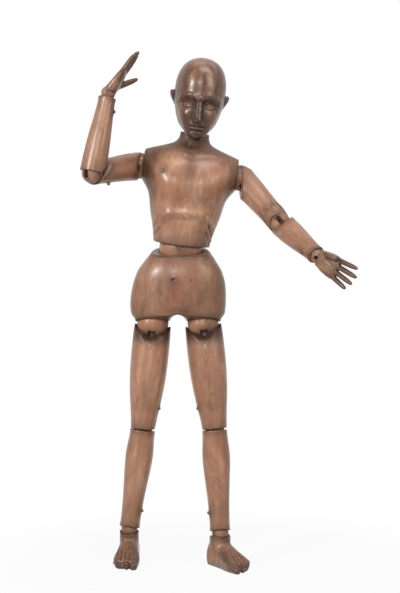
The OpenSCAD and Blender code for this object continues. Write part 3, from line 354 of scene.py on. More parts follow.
def wood_material(name, tone=1.0, redness=0.5, dullness=0.0, seed=0.0, contrast=1.2):
    """Stained, waxed wood: streaks along the grain, red patches, pores, specks, and darkening in hollows and
    marked strokes that is partly old wax and partly painted shade.
    """
    mat, tree, shader = new_material(name)
    look = finish()
    grain = attribute(tree, "grain", "Vector")
    rim, hollow, stain, edge = (attribute(tree, n, "Fac") for n in ("rim", "hollow", "stain", "edge"))
    shifts = {"age": (seed + 7, 4, 1), "redder": (seed + 3, 1, 2)}
    field = {}
    for key, (stretch, *settings) in WOOD_NOISE.items():
        shift = shifts.get(key, (seed, seed * 1.7, seed * 0.6))
        field[key] = noise(tree, scaled(tree, grain, (1, 1, stretch), shift), *settings)
    patches, mottle, bands, streaks, pores, specks, tool, age, redder = field.values()

    dark, middle, light, red = (
        [tone * c for c in color]
        for color in (look.wood_dark, look.wood_mid, look.wood_light, look.wood_red))
    open_pores = pores.step(0.58, 0.76)
    cloud = (patches - 0.5) * (1.1 * contrast) + (mottle - 0.5) * (0.9 * contrast)
    value = 0.5 + cloud + (streaks - 0.5) * 0.5 + (bands - 0.5) * 0.5
    base = blend_color(tree, value.step(0.0, 0.52), dark, middle)
    base = blend_color(tree, value.step(0.48, 1.0), base, light)
    base = blend_color(tree, redder.step(0.42, 0.7) * redness, base, red)
    base = blend_color(tree, (1.0 - age.step(0.36, 0.52)) * min(0.35 * contrast, 0.8), base, dark)
    base = blend_color(tree, open_pores * 0.45, base, dark)
    base = blend_color(tree, specks.step(0.71, 0.77) * 0.6, base, look.dirt_and_shade)
    # Darker in the hollows: partly old wax, partly painted shade where the hollows lie in shadow.
    crevice = (hollow.step(0.06, 0.7) * 0.85).clip()
    base = blend_color(tree, crevice, base, look.dirt_and_shade)
    # A thin dark line along each sharp rim.
    base = blend_color(tree, rim.step(0.5, 1.0) * 0.6, base, look.dirt_and_shade)
    base = blend_color(tree, (edge * (mottle + 0.3)).clip(), base, [0.5 * c for c in dark])
    # Marked darkening: partly old wax and a dark knot, partly painted shade by the face's features, in the
    # armpits, over the lower belly, under the chin and in the thighs' hollows.
    stain_and_shade_mask = (stain + (mottle - 0.5) * stain * 1.2).clip()
    base = blend_color(tree, stain_and_shade_mask, base, look.dirt_and_shade)

    rough = 0.2 + dullness + patches * 0.12 + mottle * 0.22 + open_pores * 0.1
    rough = rough + (crevice + stain_and_shade_mask * 0.6) * 0.25
    height = streaks * 0.35 + pores * 0.35 + mottle * 0.5 + tool * 1.2
    bump = wire_node(tree, "ShaderNodeBump", None, 0, {"Strength": 0.3, "Distance": 0.0012, "Height": height})
    coat = (1.0 - crevice) * (1.0 - stain_and_shade_mask * 0.7) * look.polish
    feed(tree, shader, Base_Color=base, Roughness=rough, Coat_Weight=coat, Normal=bump)
    shader.inputs["Coat Roughness"].default_value = 0.24
    shader.inputs["Specular IOR Level"].default_value = 0.32
    return mat


def peg_material(name, color, fleck):
    """Dowel wood with flecked end grain, in the object's own coordinates; above the throat it is darkened like the
    wood there, partly old wax and partly painted shade under the chin.
    """
    mat, tree, shader = new_material(name)
    look = finish()
    where = wire_node(tree, "ShaderNodeTexCoord", None, "Object", {})
    flecks = noise(tree, where, 700.0, 3.0, 0.6)
    broad = noise(tree, where, 160.0, 2.0, 0.5)
    base = blend_color(tree, flecks.step(0.35, 0.7) * fleck, color, look.dirt_and_shade)
    base = blend_color(tree, broad.step(0.5, 0.75) * 0.6, base, look.wood_mid)
    height = wire_node(tree, "ShaderNodeSeparateXYZ", None, "Z", {"Vector": where})
    throat = (place("neck_nod").z + place("left_shoulder_raise").z) / 2
    # Darker above the throat: partly old wax, partly painted shade under the chin.
    base = blend_color(tree, height.step(throat, throat + 0.004) * 0.8, base, look.dirt_and_shade)
    bump = wire_node(tree, "ShaderNodeBump", None, 0, {"Strength": 0.2, "Distance": 0.0004, "Height": flecks})
    feed(tree, shader, Base_Color=base, Roughness=0.42 + flecks * 0.2, Normal=bump)
    return mat


# Carving


def boxes_meet(a, b, room):
    return all(a[0][k] - room < b[1][k] and b[0][k] - room < a[1][k] for k in range(3))


def node_bmesh(node):
    """A CAD node's mesh with its loose triangles joined."""
    bm = bmesh.new()
    bm.from_mesh(frame["nodes"][node].data)
    bmesh.ops.remove_doubles(bm, verts=bm.verts, dist=1e-6)
    return bm


def scooped(bm, node, scoops):
    """The solid of a bmesh less some round cuts.

    Each cut has a centre, a radius and a half length along the piece's y, in millimetres;
    with no half length it is a ball.
    """
    mesh = bpy.data.meshes.new("uncut")
    bm.to_mesh(mesh)
    bm.free()
    obj = bpy.data.objects.new("uncut", mesh)
    bpy.context.scene.collection.objects.link(obj)
    spare = [obj]
    for centre, radius, half in scoops:
        cutter = bmesh.new()
        if half:
            bmesh.ops.create_cone(
                cutter, cap_ends=True, segments=48, depth=2 * half * MM,
                radius1=radius * MM, radius2=radius * MM)
            bmesh.ops.rotate(cutter, verts=cutter.verts, matrix=Matrix.Rotation(math.pi / 2, 3, "X"))
        else:
            bmesh.ops.create_uvsphere(cutter, u_segments=48, v_segments=24, radius=radius * MM)
        bmesh.ops.translate(cutter, verts=cutter.verts, vec=Vector(centre) * MM)
        bmesh.ops.transform(cutter, verts=cutter.verts, matrix=FRAMES[node])
        bmesh.ops.recalc_face_normals(cutter, faces=cutter.faces)
        tool = bpy.data.objects.new("scoop", bpy.data.meshes.new("scoop"))
        cutter.to_mesh(tool.data)
        cutter.free()
        bpy.context.scene.collection.objects.link(tool)
        cut = obj.modifiers.new("scoop", "BOOLEAN")
        cut.operation = "DIFFERENCE"
        cut.solver = "EXACT"
        cut.object = tool
        spare.append(tool)
    bpy.context.view_layer.update()
    out = bmesh.new()
    out.from_object(obj, bpy.context.evaluated_depsgraph_get())
    for used in spare:
        used_mesh = used.data
        bpy.data.objects.remove(used)
        bpy.data.meshes.remove(used_mesh)
    return out


def neighbours_tree(node):
    """The surfaces of the other pieces near a node, as one search tree."""
    verts, faces = [], []
    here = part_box(node)
    for other, obj in frame["nodes"].items():
        if other == node or not boxes_meet(here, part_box(other), NEAR_PIECE):
            continue
        start = len(verts)
        verts += [v.co.copy() for v in obj.data.vertices]
        faces += [[start + i for i in p.vertices] for p in obj.data.polygons]
    return BVHTree.FromPolygons(verts, faces) if faces else None


def rim_tree(bm, sharp=0.62, spacing=0.0008):
    """Points along the sharp outer edges of a bmesh."""
    points = []
    for edge in bm.edges:
        if len(edge.link_faces) == 2 and edge.is_convex and edge.calc_face_angle(0) > sharp:
            a, b = (v.co for v in edge.verts)
            count = max(1, int((b - a).length / spacing))
            points += [a.lerp(b, i / count) for i in range(count + 1)]
    tree = KDTree(len(points))
    for i, p in enumerate(points):
        tree.insert(p, i)
    tree.balance()
    return tree, len(points)


def remeshed(bm, name, voxel):
    """The solid of a bmesh as an even skin of small faces."""
    mesh = bpy.data.meshes.new(name)
    bm.to_mesh(mesh)
    obj = bpy.data.objects.new(name, mesh)
    bpy.context.scene.collection.objects.link(obj)
    skin = obj.modifiers.new("skin", "REMESH")
    skin.mode = "VOXEL"
    skin.voxel_size = voxel
    skin.adaptivity = 0.0
    bpy.context.view_layer.update()
    fresh = bpy.data.meshes.new_from_object(obj.evaluated_get(bpy.context.evaluated_depsgraph_get()))
    obj.modifiers.clear()
    obj.data = fresh
    bpy.data.meshes.remove(mesh)
    fresh.name = name
    return obj


def coordinates(mesh):
    co = np.empty(len(mesh.vertices) * 3, np.float32)
    mesh.vertices.foreach_get("co", co)
    return co.reshape(-1, 3).astype(float)


def directions(mesh):
    n = np.empty(len(mesh.vertices) * 3, np.float32)
    mesh.vertex_normals.foreach_get("vector", n)
    return n.reshape(-1, 3).astype(float)


def evened(values, mesh, passes):
    """Values averaged over neighbouring vertices."""
    edges = np.empty(len(mesh.edges) * 2, np.int32)
    mesh.edges.foreach_get("vertices", edges)
    a, b = edges[0::2], edges[1::2]
    count = len(mesh.vertices)
    degree = np.bincount(a, minlength=count) + np.bincount(b, minlength=count)
    out = values.copy()
    for _ in range(passes):
        total = np.zeros_like(out)
        for k in range(out.shape[1]):
            total[:, k] = np.bincount(a, out[b, k], count) + np.bincount(b, out[a, k], count)
        out = 0.5 * out + 0.5 * total / np.maximum(degree, 1)[:, None]
    return out


def own_place(node, co):
    """Points of the shared frame in a piece's own frame, in millimetres."""
    inverse = np.array(FRAMES[node].inverted()) if node in FRAMES else np.eye(4)
    return (co @ inverse[:3, :3].T + inverse[:3, 3]) / MM


class Carver:
    """A wooden piece while it is being carved: an even skin whose fits and rims are kept."""

    def __init__(self, node, voxel, passes, scoops=()):
        self.node = node
        self.voxel = voxel
        bm = node_bmesh(node)
        if scoops:
            bm = scooped(bm, node, scoops)
        rims, self.rim_count = rim_tree(bm)
        self.obj = remeshed(bm, node + "_wood", voxel)
        bm.free()
        self.near_rim = self.rim_distance(rims)
        self.stain = np.zeros(len(self.near_rim))
        self.free = self.free_faces()
        self.soften(passes)

    def rim_distance(self, rims):
        co = coordinates(self.obj.data)
        if not self.rim_count:
            return np.full(len(co), 1.0)
        return np.array([rims.find(p)[2] for p in co])

    def free_faces(self):
        """Vertices that no other piece lies against."""
        tree = neighbours_tree(self.node)
        co, out = coordinates(self.obj.data), directions(self.obj.data)
        free = np.ones(len(co), bool)
        if tree is None:
            return free
        for i, p in enumerate(co):
            spot = tree.find_nearest(p, shape().fit_keep)[0]
            if spot is not None and (np.array(spot) - p) @ out[i] > FACING_AWAY:
                free[i] = False
        return free

    def soften(self, passes):
        """Takes the flats off the carved skin, leaving fits and rims, then wears every edge a little."""
        bm = bmesh.new()
        bm.from_mesh(self.obj.data)
        bm.verts.ensure_lookup_table()
        skin = np.nonzero(self.free & (self.near_rim > shape().rim_keep))[0]
        worn = np.nonzero(self.free)[0]
        for indices, count in ((skin, passes), (worn, shape().edge_wear)):
            loose = [bm.verts[i] for i in indices]
            for _ in range(count):
                bmesh.ops.smooth_vert(
                    bm, verts=loose, factor=0.5, use_axis_x=True, use_axis_y=True, use_axis_z=True)
        bm.to_mesh(self.obj.data)
        bm.free()

    def local(self):
        return own_place(self.node, coordinates(self.obj.data))

    def surface(self):
        mesh = self.obj.data
        faces = [list(p.vertices) for p in mesh.polygons]
        return BVHTree.FromPolygons([v.co.copy() for v in mesh.vertices], faces)

    def land(self, tree, start, way):
        """Where a ray in the piece's own frame first meets it, in millimetres."""
        m = FRAMES[self.node]
        hit = tree.ray_cast(m @ (Vector(start) * MM), (m.to_3x3() @ Vector(way)).normalized())[0]
        return None if hit is None else (m.inverted() @ hit) / MM

    def on_front(self):
        """A function that lays points of the piece's front view on its skin."""
        skin = self.surface()
        return lambda *points: [self.land(skin, (x, FRONT_START, z), (0, 1, 0)) for x, z in points]

    def push(self, amount):
        """Moves the free skin out along its normals by amounts in millimetres."""
        mesh = self.obj.data
        fade = np.clip((self.near_rim / MM - RIM_CLEAR) / RIM_FADE, 0, 1) * self.free
        co = coordinates(mesh) + directions(mesh) * (amount * fade * MM * shape().relief)[:, None]
        mesh.vertices.foreach_set("co", co.astype(np.float32).ravel())
        mesh.update()

    def shift(self, moves):
        """Moves the free skin by vectors in the piece's own frame, in millimetres."""
        mesh = self.obj.data
        turn = np.array(FRAMES[self.node].to_3x3())
        co = coordinates(mesh) + (moves * self.free[:, None]) @ turn.T * MM
        mesh.vertices.foreach_set("co", co.astype(np.float32).ravel())
        mesh.update()

    def cut(self, strokes):
        """Carves strokes: each has points on the skin, a half width and a height, in millimetres."""
        place_mm = self.local()
        amount = np.zeros(len(place_mm))
        for points, width, height in strokes:
            points = [p for p in points if p is not None]
            if not points:
                continue
            amount += height * np.exp(-(distance_to(points, place_mm) / width) ** 2)
        self.push(amount)

    def mark_stain_and_shade(self, strokes):
        """Darkens strokes, which are stains in some places and painted shade in others: each has points on the
        skin, a half width in millimetres and a strength.
        """
        place_mm = self.local()
        for points, width, strength in strokes:
            points = [p for p in points if p is not None]
            if not points:
                continue
            mark = strength * np.exp(-(distance_to(points, place_mm) / width) ** 2)
            self.stain = np.maximum(self.stain, mark)

    def finish(self, material, reach=14, gain=1.4):
        """Writes the grain, rims, hollows, stains, painted shade and edges that the colour follows, and puts the
        piece on its body.
        """
        mesh = self.obj.data
        co = coordinates(mesh)
        even = evened(co, mesh, reach)
        depth = ((even - co) * directions(mesh)).sum(1) / MM
        write_attribute(mesh, "grain", own_place(self.node, co) * MM)
        write_attribute(mesh, "rim", np.exp(-(self.near_rim / MM / RIM_WIDTH) ** 2))
        write_attribute(mesh, "hollow", np.clip(depth * gain * MM / self.voxel, 0, 1))
        write_attribute(mesh, "stain", self.stain)
        write_attribute(mesh, "edge", np.exp(-self.near_rim / MM / EDGE_WIDTH))
        mesh.shade_smooth()
        mesh.materials.clear()
        mesh.materials.append(material)
        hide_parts(self.node)
        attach(self.obj, BODY_OF[self.node])


def distance_to(points, place_mm):
    """Least distance from each place to a polyline."""
    best = np.full(len(place_mm), 1e9)
    pts = [np.array(p) for p in points]
    if len(pts) == 1:
        return np.linalg.norm(place_mm - pts[0], axis=1)
    for a, b in zip(pts[:-1], pts[1:]):
        ab = b - a
        t = np.clip(((place_mm - a) @ ab) / max(ab @ ab, 1e-9), 0, 1)
        best = np.minimum(best, np.linalg.norm(place_mm - a - t[:, None] * ab, axis=1))
    return best


def ramp(values, low, high):
    """Smooth step from 0 at low to 1 at high."""
    t = np.clip((values - low) / (high - low), 0, 1)
    return t * t * (3 - 2 * t)


def write_attribute(mesh, name, values):
    vector = values.ndim == 2
    layer = mesh.attributes.new(name, "FLOAT_VECTOR" if vector else "FLOAT", "POINT")
    layer.data.foreach_set("vector" if vector else "value", values.astype(np.float32).ravel())


# Operators, one for each group of like pieces


class FIGURE_OT_trunk(bpy.types.Operator):
    """Carves the pelvis and the torso."""

    bl_idname = "figure.trunk"
    bl_label = "Carve trunk"

    def execute(self, context):
        for node, tone in (("pelvis", 0.88), ("torso", 1.1)):
            wood = wood_material(node + " wood", tone=tone, seed=1.3 * tone)
            arch = [((0, 0, 1), 12.0, 90)] if node == "pelvis" else ()
            piece = Carver(node, shape().trunk_grain, LIMB_PASSES, arch)
            if node == "pelvis":
                piece.shift(self.round_hips(piece))
                piece.cut(self.belly(piece))
                piece.mark_stain_and_shade(self.knot(piece))
            else:
                piece.cut(self.chest(piece))
                # Darker towards the neck: partly old wax, partly painted shadow under the chin.
                piece.stain = 0.7 * ramp(piece.local()[:, 2], 116, 140)
                piece.mark_stain_and_shade(self.throat(piece))
            piece.finish(wood)
        return {"FINISHED"}

    def round_hips(self, piece):
        """Rounds the flanks out above the hips and draws the lower corners in."""
        x, _, z = piece.local().T
        flank = np.interp(z, (20, 34, 47, 60, 74, 86), (0, 0.01, 0.027, 0.04, 0.036, 0)) * x
        corner = -4.0 * np.sign(x) * ramp(np.abs(x), 56, 65) * (1 - ramp(z, 3, 15))
        return np.stack([flank + corner, 0 * x, 0 * x], axis=1)

    def knot(self, piece):
        """A small dark knot beside the middle of the belly, and a darker band across the fork above the arch."""
        at = piece.on_front()
        return [(at((18.4, 59.8)), 1.6, 0.95), (at((-12, 17), (0, 20), (12, 17)), 4.0, 0.4)]

    def chest(self, piece):
        """Rib arch, ribs, breast muscles, breastbone, collar bones and the hollow of the throat."""
        at = piece.on_front()
        strokes = [
            (at((-36, 20), (-27, 30), (-14, 36), (2, 38.5), (18, 37.5), (30, 32), (40, 20)), 6.0, -1.3),
            (at((-32, 36), (-20, 43), (2, 46), (22, 44.5), (33, 38)), 5.0, 1.8),
            (at((-20, 24), (2, 28), (22, 24)), 10.0, -1.4),
            (at((0, 108), (1, 70)), 9.0, -0.5),
            (at((-2, 131), (-1, 119)), 4.0, -1.2),
        ]
        for s, depth in ((1, 1.6), (-1, 0.9)):
            strokes += [
                (at((s * 33, 43), (s * 38, 36), (s * 42, 29)), 2.6, 0.9 * depth),
                (at((s * 34, 36), (s * 38, 29), (s * 41, 22)), 2.6, -0.8 * depth),
                (at((s * 34, 29), (s * 37, 22), (s * 40, 15)), 2.6, 0.9 * depth),
                (at((s * 33, 22), (s * 36, 15), (s * 38, 9)), 2.6, -0.8 * depth),
                (at((s * 26, 79)), 19.0, 2.0),
                (at((s * 32, 59), (s * 14, 55)), 8.0, -0.9),
                (at((s * 7, 125), (s * 26, 129), (s * 46, 131)), 5.0, 0.7),
                (at((s * 12, 118), (s * 28, 120), (s * 44, 121)), 6.0, -0.6),
            ]
        return strokes

    def throat(self, piece):
        """Old wax below the throat and along the shoulders, and painted shade in the armpits and over the lower
        belly.
        """
        at = piece.on_front()
        strokes = [
            (at((0, 138), (1, 118), (2, 98)), 8.0, 0.5),
            (at((3, 98), (2, 84)), 4.0, 0.3),
            (at((-18, 8), (2, 10), (22, 8)), 22.0, 0.3),
        ]
        for s in (-1, 1):
            strokes += [
                (at((s * 60, 118), (s * 58, 96), (s * 55, 78)), 6.0, 0.45),
                (at((s * 24, 131), (s * 44, 130)), 6.0, 0.4),
            ]
        return strokes

    def belly(self, piece):
        """Groin folds and the flat of the lower belly."""
        at = piece.on_front()
        strokes = [(at((2, 78), (1, 40)), 13.0, -0.5)]
        for s in (-1, 1):
            strokes += [(at((s * 52, 46), (s * 34, 26), (s * 17, 18)), 9.0, -0.9)]
        return strokes


class FIGURE_OT_head(bpy.types.Operator):
    """Carves the head and its face."""

    bl_idname = "figure.head"
    bl_label = "Carve head"

    def execute(self, context):
        wood = wood_material("head wood", tone=0.62, redness=1.0, dullness=-0.06, seed=4.1, contrast=3.0)
        head = Carver("head", shape().fine_grain * 1.1, HEAD_PASSES)
        head.shift(self.long_face(head))
        head.cut(self.masses(head))
        head.cut(self.features(head))
        head.mark_stain_and_shade(self.shadows(head))
        head.finish(wood, reach=60, gain=0.6)
        return {"FINISHED"}

    def long_face(self, head):
        """Draws the face down the front of the head, and widens the jaw."""
        x, y, z = head.local().T
        front = ramp(-y, 20, 32)
        down = np.interp(z, (-10, 0, 21, 41, 72), (-5, -6, -9.3, -5.3, 0)) * front
        wide = np.interp(z, (-8, 0, 12, 24, 36), (0.35, 0.2, 0.08, 0.02, 0)) * ramp(-y, -10, 0)
        return np.stack([x * wide, 0 * down, down], axis=1)

    def masses(self, head):
        """Sockets, brows, nose, cheeks, chin and jaw."""
        at = head.on_front()
        strokes = [
            (at((0, 42), (0, 30), (0, 14)), 3.0, 3.6),
            (at((0, 12.5)), 4.2, 2.4),
            (at((0, -7)), 6.0, 2.0),
            (at((-5, -1.5), (5, -1.5)), 2.4, -1.2),
        ]
        for s in (-1, 1):
            strokes += [
                (at((s * 9, 36), (s * 23, 34)), 6.5, -2.6),
                (at((s * 5, 42), (s * 13, 46), (s * 21, 45), (s * 28, 40)), 3.4, 1.3),
                (at((s * 13, 33.5), (s * 19, 33.3)), 4.4, 2.1),
                (at((s * 7.5, 37), (s * 7.5, 14)), 2.8, -2.0),
                (at((s * 4.8, 12)), 2.4, 1.7),
                (at((s * 18, 19)), 8.0, 1.1),
                (at((s * 21, 5)), 8.0, -0.9),
            ]
        return strokes

    def shadows(self, head):
        """Painted shade beside the nose and nostrils, under the brows, round the eyes, between and below the lips
        and down the sides of the face.
        """
        at = head.on_front()
        strokes = [(at((-10, 5.1), (0, 5.3), (10, 5.1)), 1.5, 0.85), (at((-6, -2), (6, -2)), 2.0, 0.35)]
        for s in (-1, 1):
            strokes += [
                (at((s * 6, 39), (s * 6.5, 28), (s * 7, 13)), 2.8, 0.75),
                (at((s * 5, 40), (s * 13, 41), (s * 20, 40), (s * 26, 36)), 2.2, 0.65),
                (at((s * 9, 34), (s * 13, 37.6), (s * 18, 38), (s * 23.5, 34)), 1.2, 0.6),
                (at((s * 9.5, 31.5), (s * 13, 29.2), (s * 18, 28.8), (s * 23, 31.2)), 1.2, 0.55),
                (at((s * 3, 9.8)), 2.2, 0.7),
                (at((s * 26, 10), (s * 20, -3)), 6.0, 0.3),
            ]
        return strokes

    def features(self, head):
        """Lids, nostrils, lips and ear hollows."""
        at = head.on_front()
        strokes = [
            (at((0, 9), (0, 7.5)), 1.0, -0.4),
            (at((-9, 6.4), (-3, 7.8), (3, 7.8), (9, 6.4)), 1.5, 1.1),
            (at((-10.5, 5.0), (0, 5.3), (10.5, 5.0)), 0.8, -1.7),
            (at((-7, 2.6), (0, 2.2), (7, 2.6)), 2.0, 1.5),
        ]
        for s in (-1, 1):
            strokes += [
                (at((s * 9, 34), (s * 13, 37.6), (s * 18, 38), (s * 23.5, 34)), 0.9, -1.0),
                (at((s * 9, 33), (s * 13, 34.9), (s * 18, 35), (s * 23, 32.8)), 0.8, 0.8),
                (at((s * 9.3, 32.4), (s * 13, 33.6), (s * 18, 33.7), (s * 22.5, 32.0)), 0.6, -0.9),
                (at((s * 9.5, 31.5), (s * 13, 29.2), (s * 18, 28.8), (s * 23, 31.2)), 0.9, -0.8),
                (at((s * 2.4, 9.6)), 1.3, -1.3),
                (at((s * 40, 45), (s * 39, 34)), 1.5, -1.3),
            ]
        return strokes


class FIGURE_OT_arms(bpy.types.Operator):
    """Carves the upper arms and forearms."""

    bl_idname = "figure.arms"
    bl_label = "Carve arms"

    def execute(self, context):
        for side, hand in SIDES:
            wood = wood_material(
                side + " arm wood", tone=1.18, redness=0.35, dullness=0.05, seed=7.2 + hand, contrast=0.9)
            for node in ("upper_arm", "forearm"):
                Carver(side + "_" + node, shape().limb_grain, LIMB_PASSES).finish(wood)
        return {"FINISHED"}


class FIGURE_OT_hands(bpy.types.Operator):
    """Carves the hands."""

    bl_idname = "figure.hands"
    bl_label = "Carve hands"

    def execute(self, context):
        wood = wood_material("hand wood", tone=0.9, seed=11.5)
        for side, _ in SIDES:
            hand = Carver(side + "_hand", shape().fine_grain, HAND_PASSES)
            if side == "right":
                hand.shift(self.long_thumb(hand))
            hand.cut(self.creases(hand))
            hand.finish(wood)
        return {"FINISHED"}

    def long_thumb(self, hand):
        """Draws the raised hand's thumb out along its own length."""
        root, way, length = np.array((9.3, -2.5, -13.5)), np.array((0.636, -0.309, -0.707)), 28
        out = hand.local() - root
        along_thumb = out @ way
        beside = np.linalg.norm(out - along_thumb[:, None] * way, axis=1)
        reach = np.clip((along_thumb - 6) / (length - 6), 0, 1) * (1 - ramp(beside, 5.5, 7.5))
        return 12 * reach[:, None] * way

    def creases(self, hand):
        """Creases of the palm, the ball of the thumb and the finger joints."""
        at = hand.on_front()
        strokes = [
            (at((11, -9), (5, -15), (3, -27)), 1.1, -0.4),
            (at((-12, -27), (0, -29), (10, -33)), 0.9, -0.3),
            (at((-11, -20), (0, -23), (12, -29)), 0.9, -0.3),
            (at((9, -16)), 5.0, 0.7),
            (at((-10, -14)), 5.0, 0.5),
        ]
        for k, length in enumerate((30, 33, 30, 24)):
            x = 11.6 - 7.75 * k
            for part in (0.06, 0.36, 0.66):
                z = -35.5 - length * part
                strokes += [(at((x - 3, z), (x + 3, z)), 0.7, -0.25)]
        return strokes


class FIGURE_OT_legs(bpy.types.Operator):
    """Carves the thighs and shins."""

    bl_idname = "figure.legs"
    bl_label = "Carve legs"

    def execute(self, context):
        for side, hand in SIDES:
            wood = wood_material(
                side + " leg wood", tone=1.15, redness=0.35, dullness=-0.05, seed=15.4 + hand, contrast=0.9)
            for node in ("thigh", "shin"):
                hollow = [((0, -28.6, -9.0), 17.0, 0)] if node == "thigh" else ()
                piece = Carver(side + "_" + node, shape().trunk_grain, LIMB_PASSES, hollow)
                if node == "thigh":
                    # Painted shade in the hollow under the hip ball, fading down the thigh.
                    piece.stain = 0.95 * (1 - ramp(np.linalg.norm(piece.local(), axis=1), 28, 43))
                    piece.cut([(piece.on_front()((0, -37)), 11.0, 1.2)])
                piece.finish(wood)
        return {"FINISHED"}


class FIGURE_OT_feet(bpy.types.Operator):
    """Carves the feet."""

    bl_idname = "figure.feet"
    bl_label = "Carve feet"

    def execute(self, context):
        # The left foot is painted lighter than the right: lit and shaded copies of one wood, standing in for the
        # light on the left instep.
        for side, tone in (("left", 1.0), ("right", 0.76)):
            wood = wood_material(side + " foot wood", tone=tone, redness=0.7, dullness=-0.11, seed=19.8)
            foot = Carver(side + "_foot", shape().fine_grain, FOOT_PASSES)
            foot.shift(self.short_heel(foot))
            foot.cut(self.toes(foot))
            foot.finish(wood)
        return {"FINISHED"}

    def short_heel(self, foot):
        """Draws the heel in under the ankle."""
        _, y, z = foot.local().T
        heel = np.minimum(12 - y, 0) * 0.6 * ramp(-z, 12, 20)
        return np.stack([0 * heel, heel, 0 * heel], axis=1)

    def toes(self, foot):
        """Furrows between the toes, knuckles and nails."""
        skin = foot.surface()

        def at(*points):
            return [foot.land(skin, (x, y, 12), (0, 0, -1)) for x, y in points]

        strokes = []
        for x, tip in ((-5.2, -50), (1.4, -50), (7.2, -46), (12.8, -38)):
            strokes += [(at((x, tip), (x * 0.96, tip + 8), (x * 0.92, tip + 16)), 1.1, -1.2)]
        for x, tip in ((-10.7, -52), (-1.5, -52), (4.3, -48), (10, -40), (15.5, -27)):
            strokes += [
                (at((x, tip + 1.5)), 1.5, -0.4),
                (at((x, tip + 5)), 2.2, 0.5),
            ]
        return strokes


class FIGURE_OT_balls(bpy.types.Operator):
    """Turns the joint balls and fits the tongues."""

    bl_idname = "figure.balls"
    bl_label = "Turn balls"

    def execute(self, context):
        wood = wood_material("ball wood", tone=1.2, dullness=0.08, seed=23.1)
        tongues = [node for node in frame["nodes"] if node.endswith("_tongue")]
        for node in [name + "_ball" for name in BALL_NAMES] + tongues:
            Carver(node, shape().limb_grain * 0.8, 0).finish(wood)
        return {"FINISHED"}


class FIGURE_OT_pegs(bpy.types.Operator):
    """Stains the cross pins and retaining pegs."""

    bl_idname = "figure.pegs"
    bl_label = "Stain pegs"

    def execute(self, context):
        dark = peg_material("peg wood", finish().peg_wood, 1.0)
        flush = peg_material("trunk peg wood", finish().trunk_pegs, 0.4)
        for node, obj in frame["nodes"].items():
            if node.endswith(("_pin", "_peg", "_pegs")):
                obj.data.materials.clear()
                obj.data.materials.append(flush if node.endswith("_pegs") else dark)
        return {"FINISHED"}


def softbox(name, where, aim, size, power):
    lamp = bpy.data.lights.new(name, "AREA")
    lamp.shape = "RECTANGLE"
    lamp.size, lamp.size_y = size
    lamp.energy = power
    obj = bpy.data.objects.new(name, lamp)
    bpy.context.scene.collection.objects.link(obj)
    obj.location = where
    obj.rotation_euler = (Vector(aim) - Vector(where)).to_track_quat("-Z", "Y").to_euler()


def seen_ray(tree):
    """1 where the camera sees the surround, straight or mirrored, and 0 for light on the figure."""
    path = tree.nodes.new("ShaderNodeLightPath")
    kinds = [Wire(tree, path.outputs[k]) for k in ("Is Camera Ray", "Is Glossy Ray", "Is Transmission Ray")]
    return (kinds[0] + kinds[1] + kinds[2]).clip()


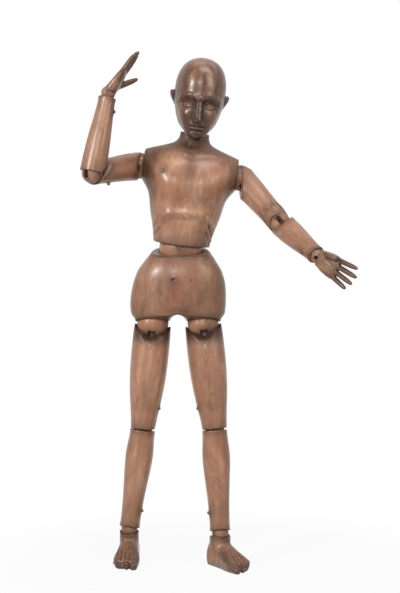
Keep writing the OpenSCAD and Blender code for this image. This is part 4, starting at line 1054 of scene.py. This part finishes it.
class FIGURE_OT_stage(bpy.types.Operator):
    """Sets the floor, the soft lights, the white surround and the camera."""

    bl_idname = "figure.stage"
    bl_label = "Set stage"

    def execute(self, context):
        scene = context.scene
        s = studio()
        scene.view_settings.view_transform = "Standard"
        self.floor(s)
        self.world(scene)
        hips = FRAMES["pelvis"].translation
        for name, where, aim, size, power in SOFTBOXES:
            softbox(name, where, aim, size, getattr(s, power))
        lens = bpy.data.cameras.new("camera")
        lens.lens = s.lens
        lens.sensor_width = 36
        camera = bpy.data.objects.new("camera", lens)
        scene.collection.objects.link(camera)
        camera.location = (hips.x + s.camera_aside, hips.y - s.camera_back, s.camera_height)
        camera.rotation_euler = (math.pi / 2, 0, 0)
        scene.camera = camera
        return {"FINISHED"}

    def floor(self, s):
        """A pale floor, nearly white to the camera, that keeps the figure's shadow faintly."""
        mat, tree, shader = new_material("floor")
        shader.inputs["Base Color"].default_value = tuple(s.floor_color) + (1.0,)
        shader.inputs["Roughness"].default_value = 0.9
        glow = wire_node(tree, "ShaderNodeEmission", None, 0, {"Color": (1, 1, 1, 1), "Strength": 1.0})
        where = wire_node(tree, "ShaderNodeTexCoord", None, "Object", {})
        away = wire_node(tree, "ShaderNodeVectorMath", {"operation": "LENGTH"}, "Value", {0: where})
        white = FLOOR_WHITE + away.step(0.2, 0.5) * (1.0 - FLOOR_WHITE)
        mixed = wire_node(
            tree, "ShaderNodeMixShader", None, 0,
            {0: seen_ray(tree) * white, 1: Wire(tree, shader.outputs[0]), 2: glow})
        tree.links.new(mixed.socket, tree.nodes["Material Output"].inputs["Surface"])
        bm = bmesh.new()
        bmesh.ops.create_grid(bm, x_segments=2, y_segments=2, size=FLOOR_SIZE)
        mesh = bpy.data.meshes.new("floor")
        bm.to_mesh(mesh)
        bm.free()
        floor = bpy.data.objects.new("floor", mesh)
        bpy.context.scene.collection.objects.link(floor)
        mesh.materials.append(mat)

    def world(self, scene):
        """White to the camera and in the polish, and a dim studio as light."""
        world = bpy.data.worlds.new("surround")
        scene.world = world
        world.use_nodes = True
        tree = world.node_tree
        light = tree.nodes["Background"]
        light.inputs["Color"].default_value = (1, 1, 1, 1)
        strength = ROOM_LIGHT + seen_ray(tree) * (1.0 - ROOM_LIGHT)
        tree.links.new(strength.socket, light.inputs["Strength"])


class FIGURE_PT_panel(bpy.types.Panel):
    """Lists the steps and their settings in the sidebar."""

    bl_idname = "FIGURE_PT_panel"
    bl_label = "Lay figure"
    bl_space_type = "VIEW_3D"
    bl_region_type = "UI"
    bl_category = "Lay figure"

    def draw(self, context):
        layout = self.layout
        for group in (context.scene.figure_shape, context.scene.figure_finish, context.scene.figure_stage):
            box = layout.box()
            for name in group.__annotations__:
                box.prop(group, name)
        for operator in OPERATORS:
            layout.operator(operator.bl_idname)


OPERATORS = (
    FIGURE_OT_trunk, FIGURE_OT_head, FIGURE_OT_arms, FIGURE_OT_hands, FIGURE_OT_legs, FIGURE_OT_feet,
    FIGURE_OT_balls, FIGURE_OT_pegs, FIGURE_OT_stage,
)
CLASSES = (FigureShape, FigureFinish, StudioStage) + OPERATORS + (FIGURE_PT_panel,)


def register():
    for cls in CLASSES:
        bpy.utils.register_class(cls)
    bpy.types.Scene.figure_shape = PointerProperty(type=FigureShape)
    bpy.types.Scene.figure_finish = PointerProperty(type=FigureFinish)
    bpy.types.Scene.figure_stage = PointerProperty(type=StudioStage)


def unregister():
    for name in ("figure_stage", "figure_finish", "figure_shape"):
        delattr(bpy.types.Scene, name)
    for cls in reversed(CLASSES):
        bpy.utils.unregister_class(cls)


def main():
    register()
    bpy.ops.figure.stage()
    bpy.ops.figure.trunk()
    bpy.ops.figure.head()
    bpy.ops.figure.arms()
    bpy.ops.figure.hands()
    bpy.ops.figure.legs()
    bpy.ops.figure.feet()
    bpy.ops.figure.balls()
    bpy.ops.figure.pegs()


if __name__ == "__main__":
    main()
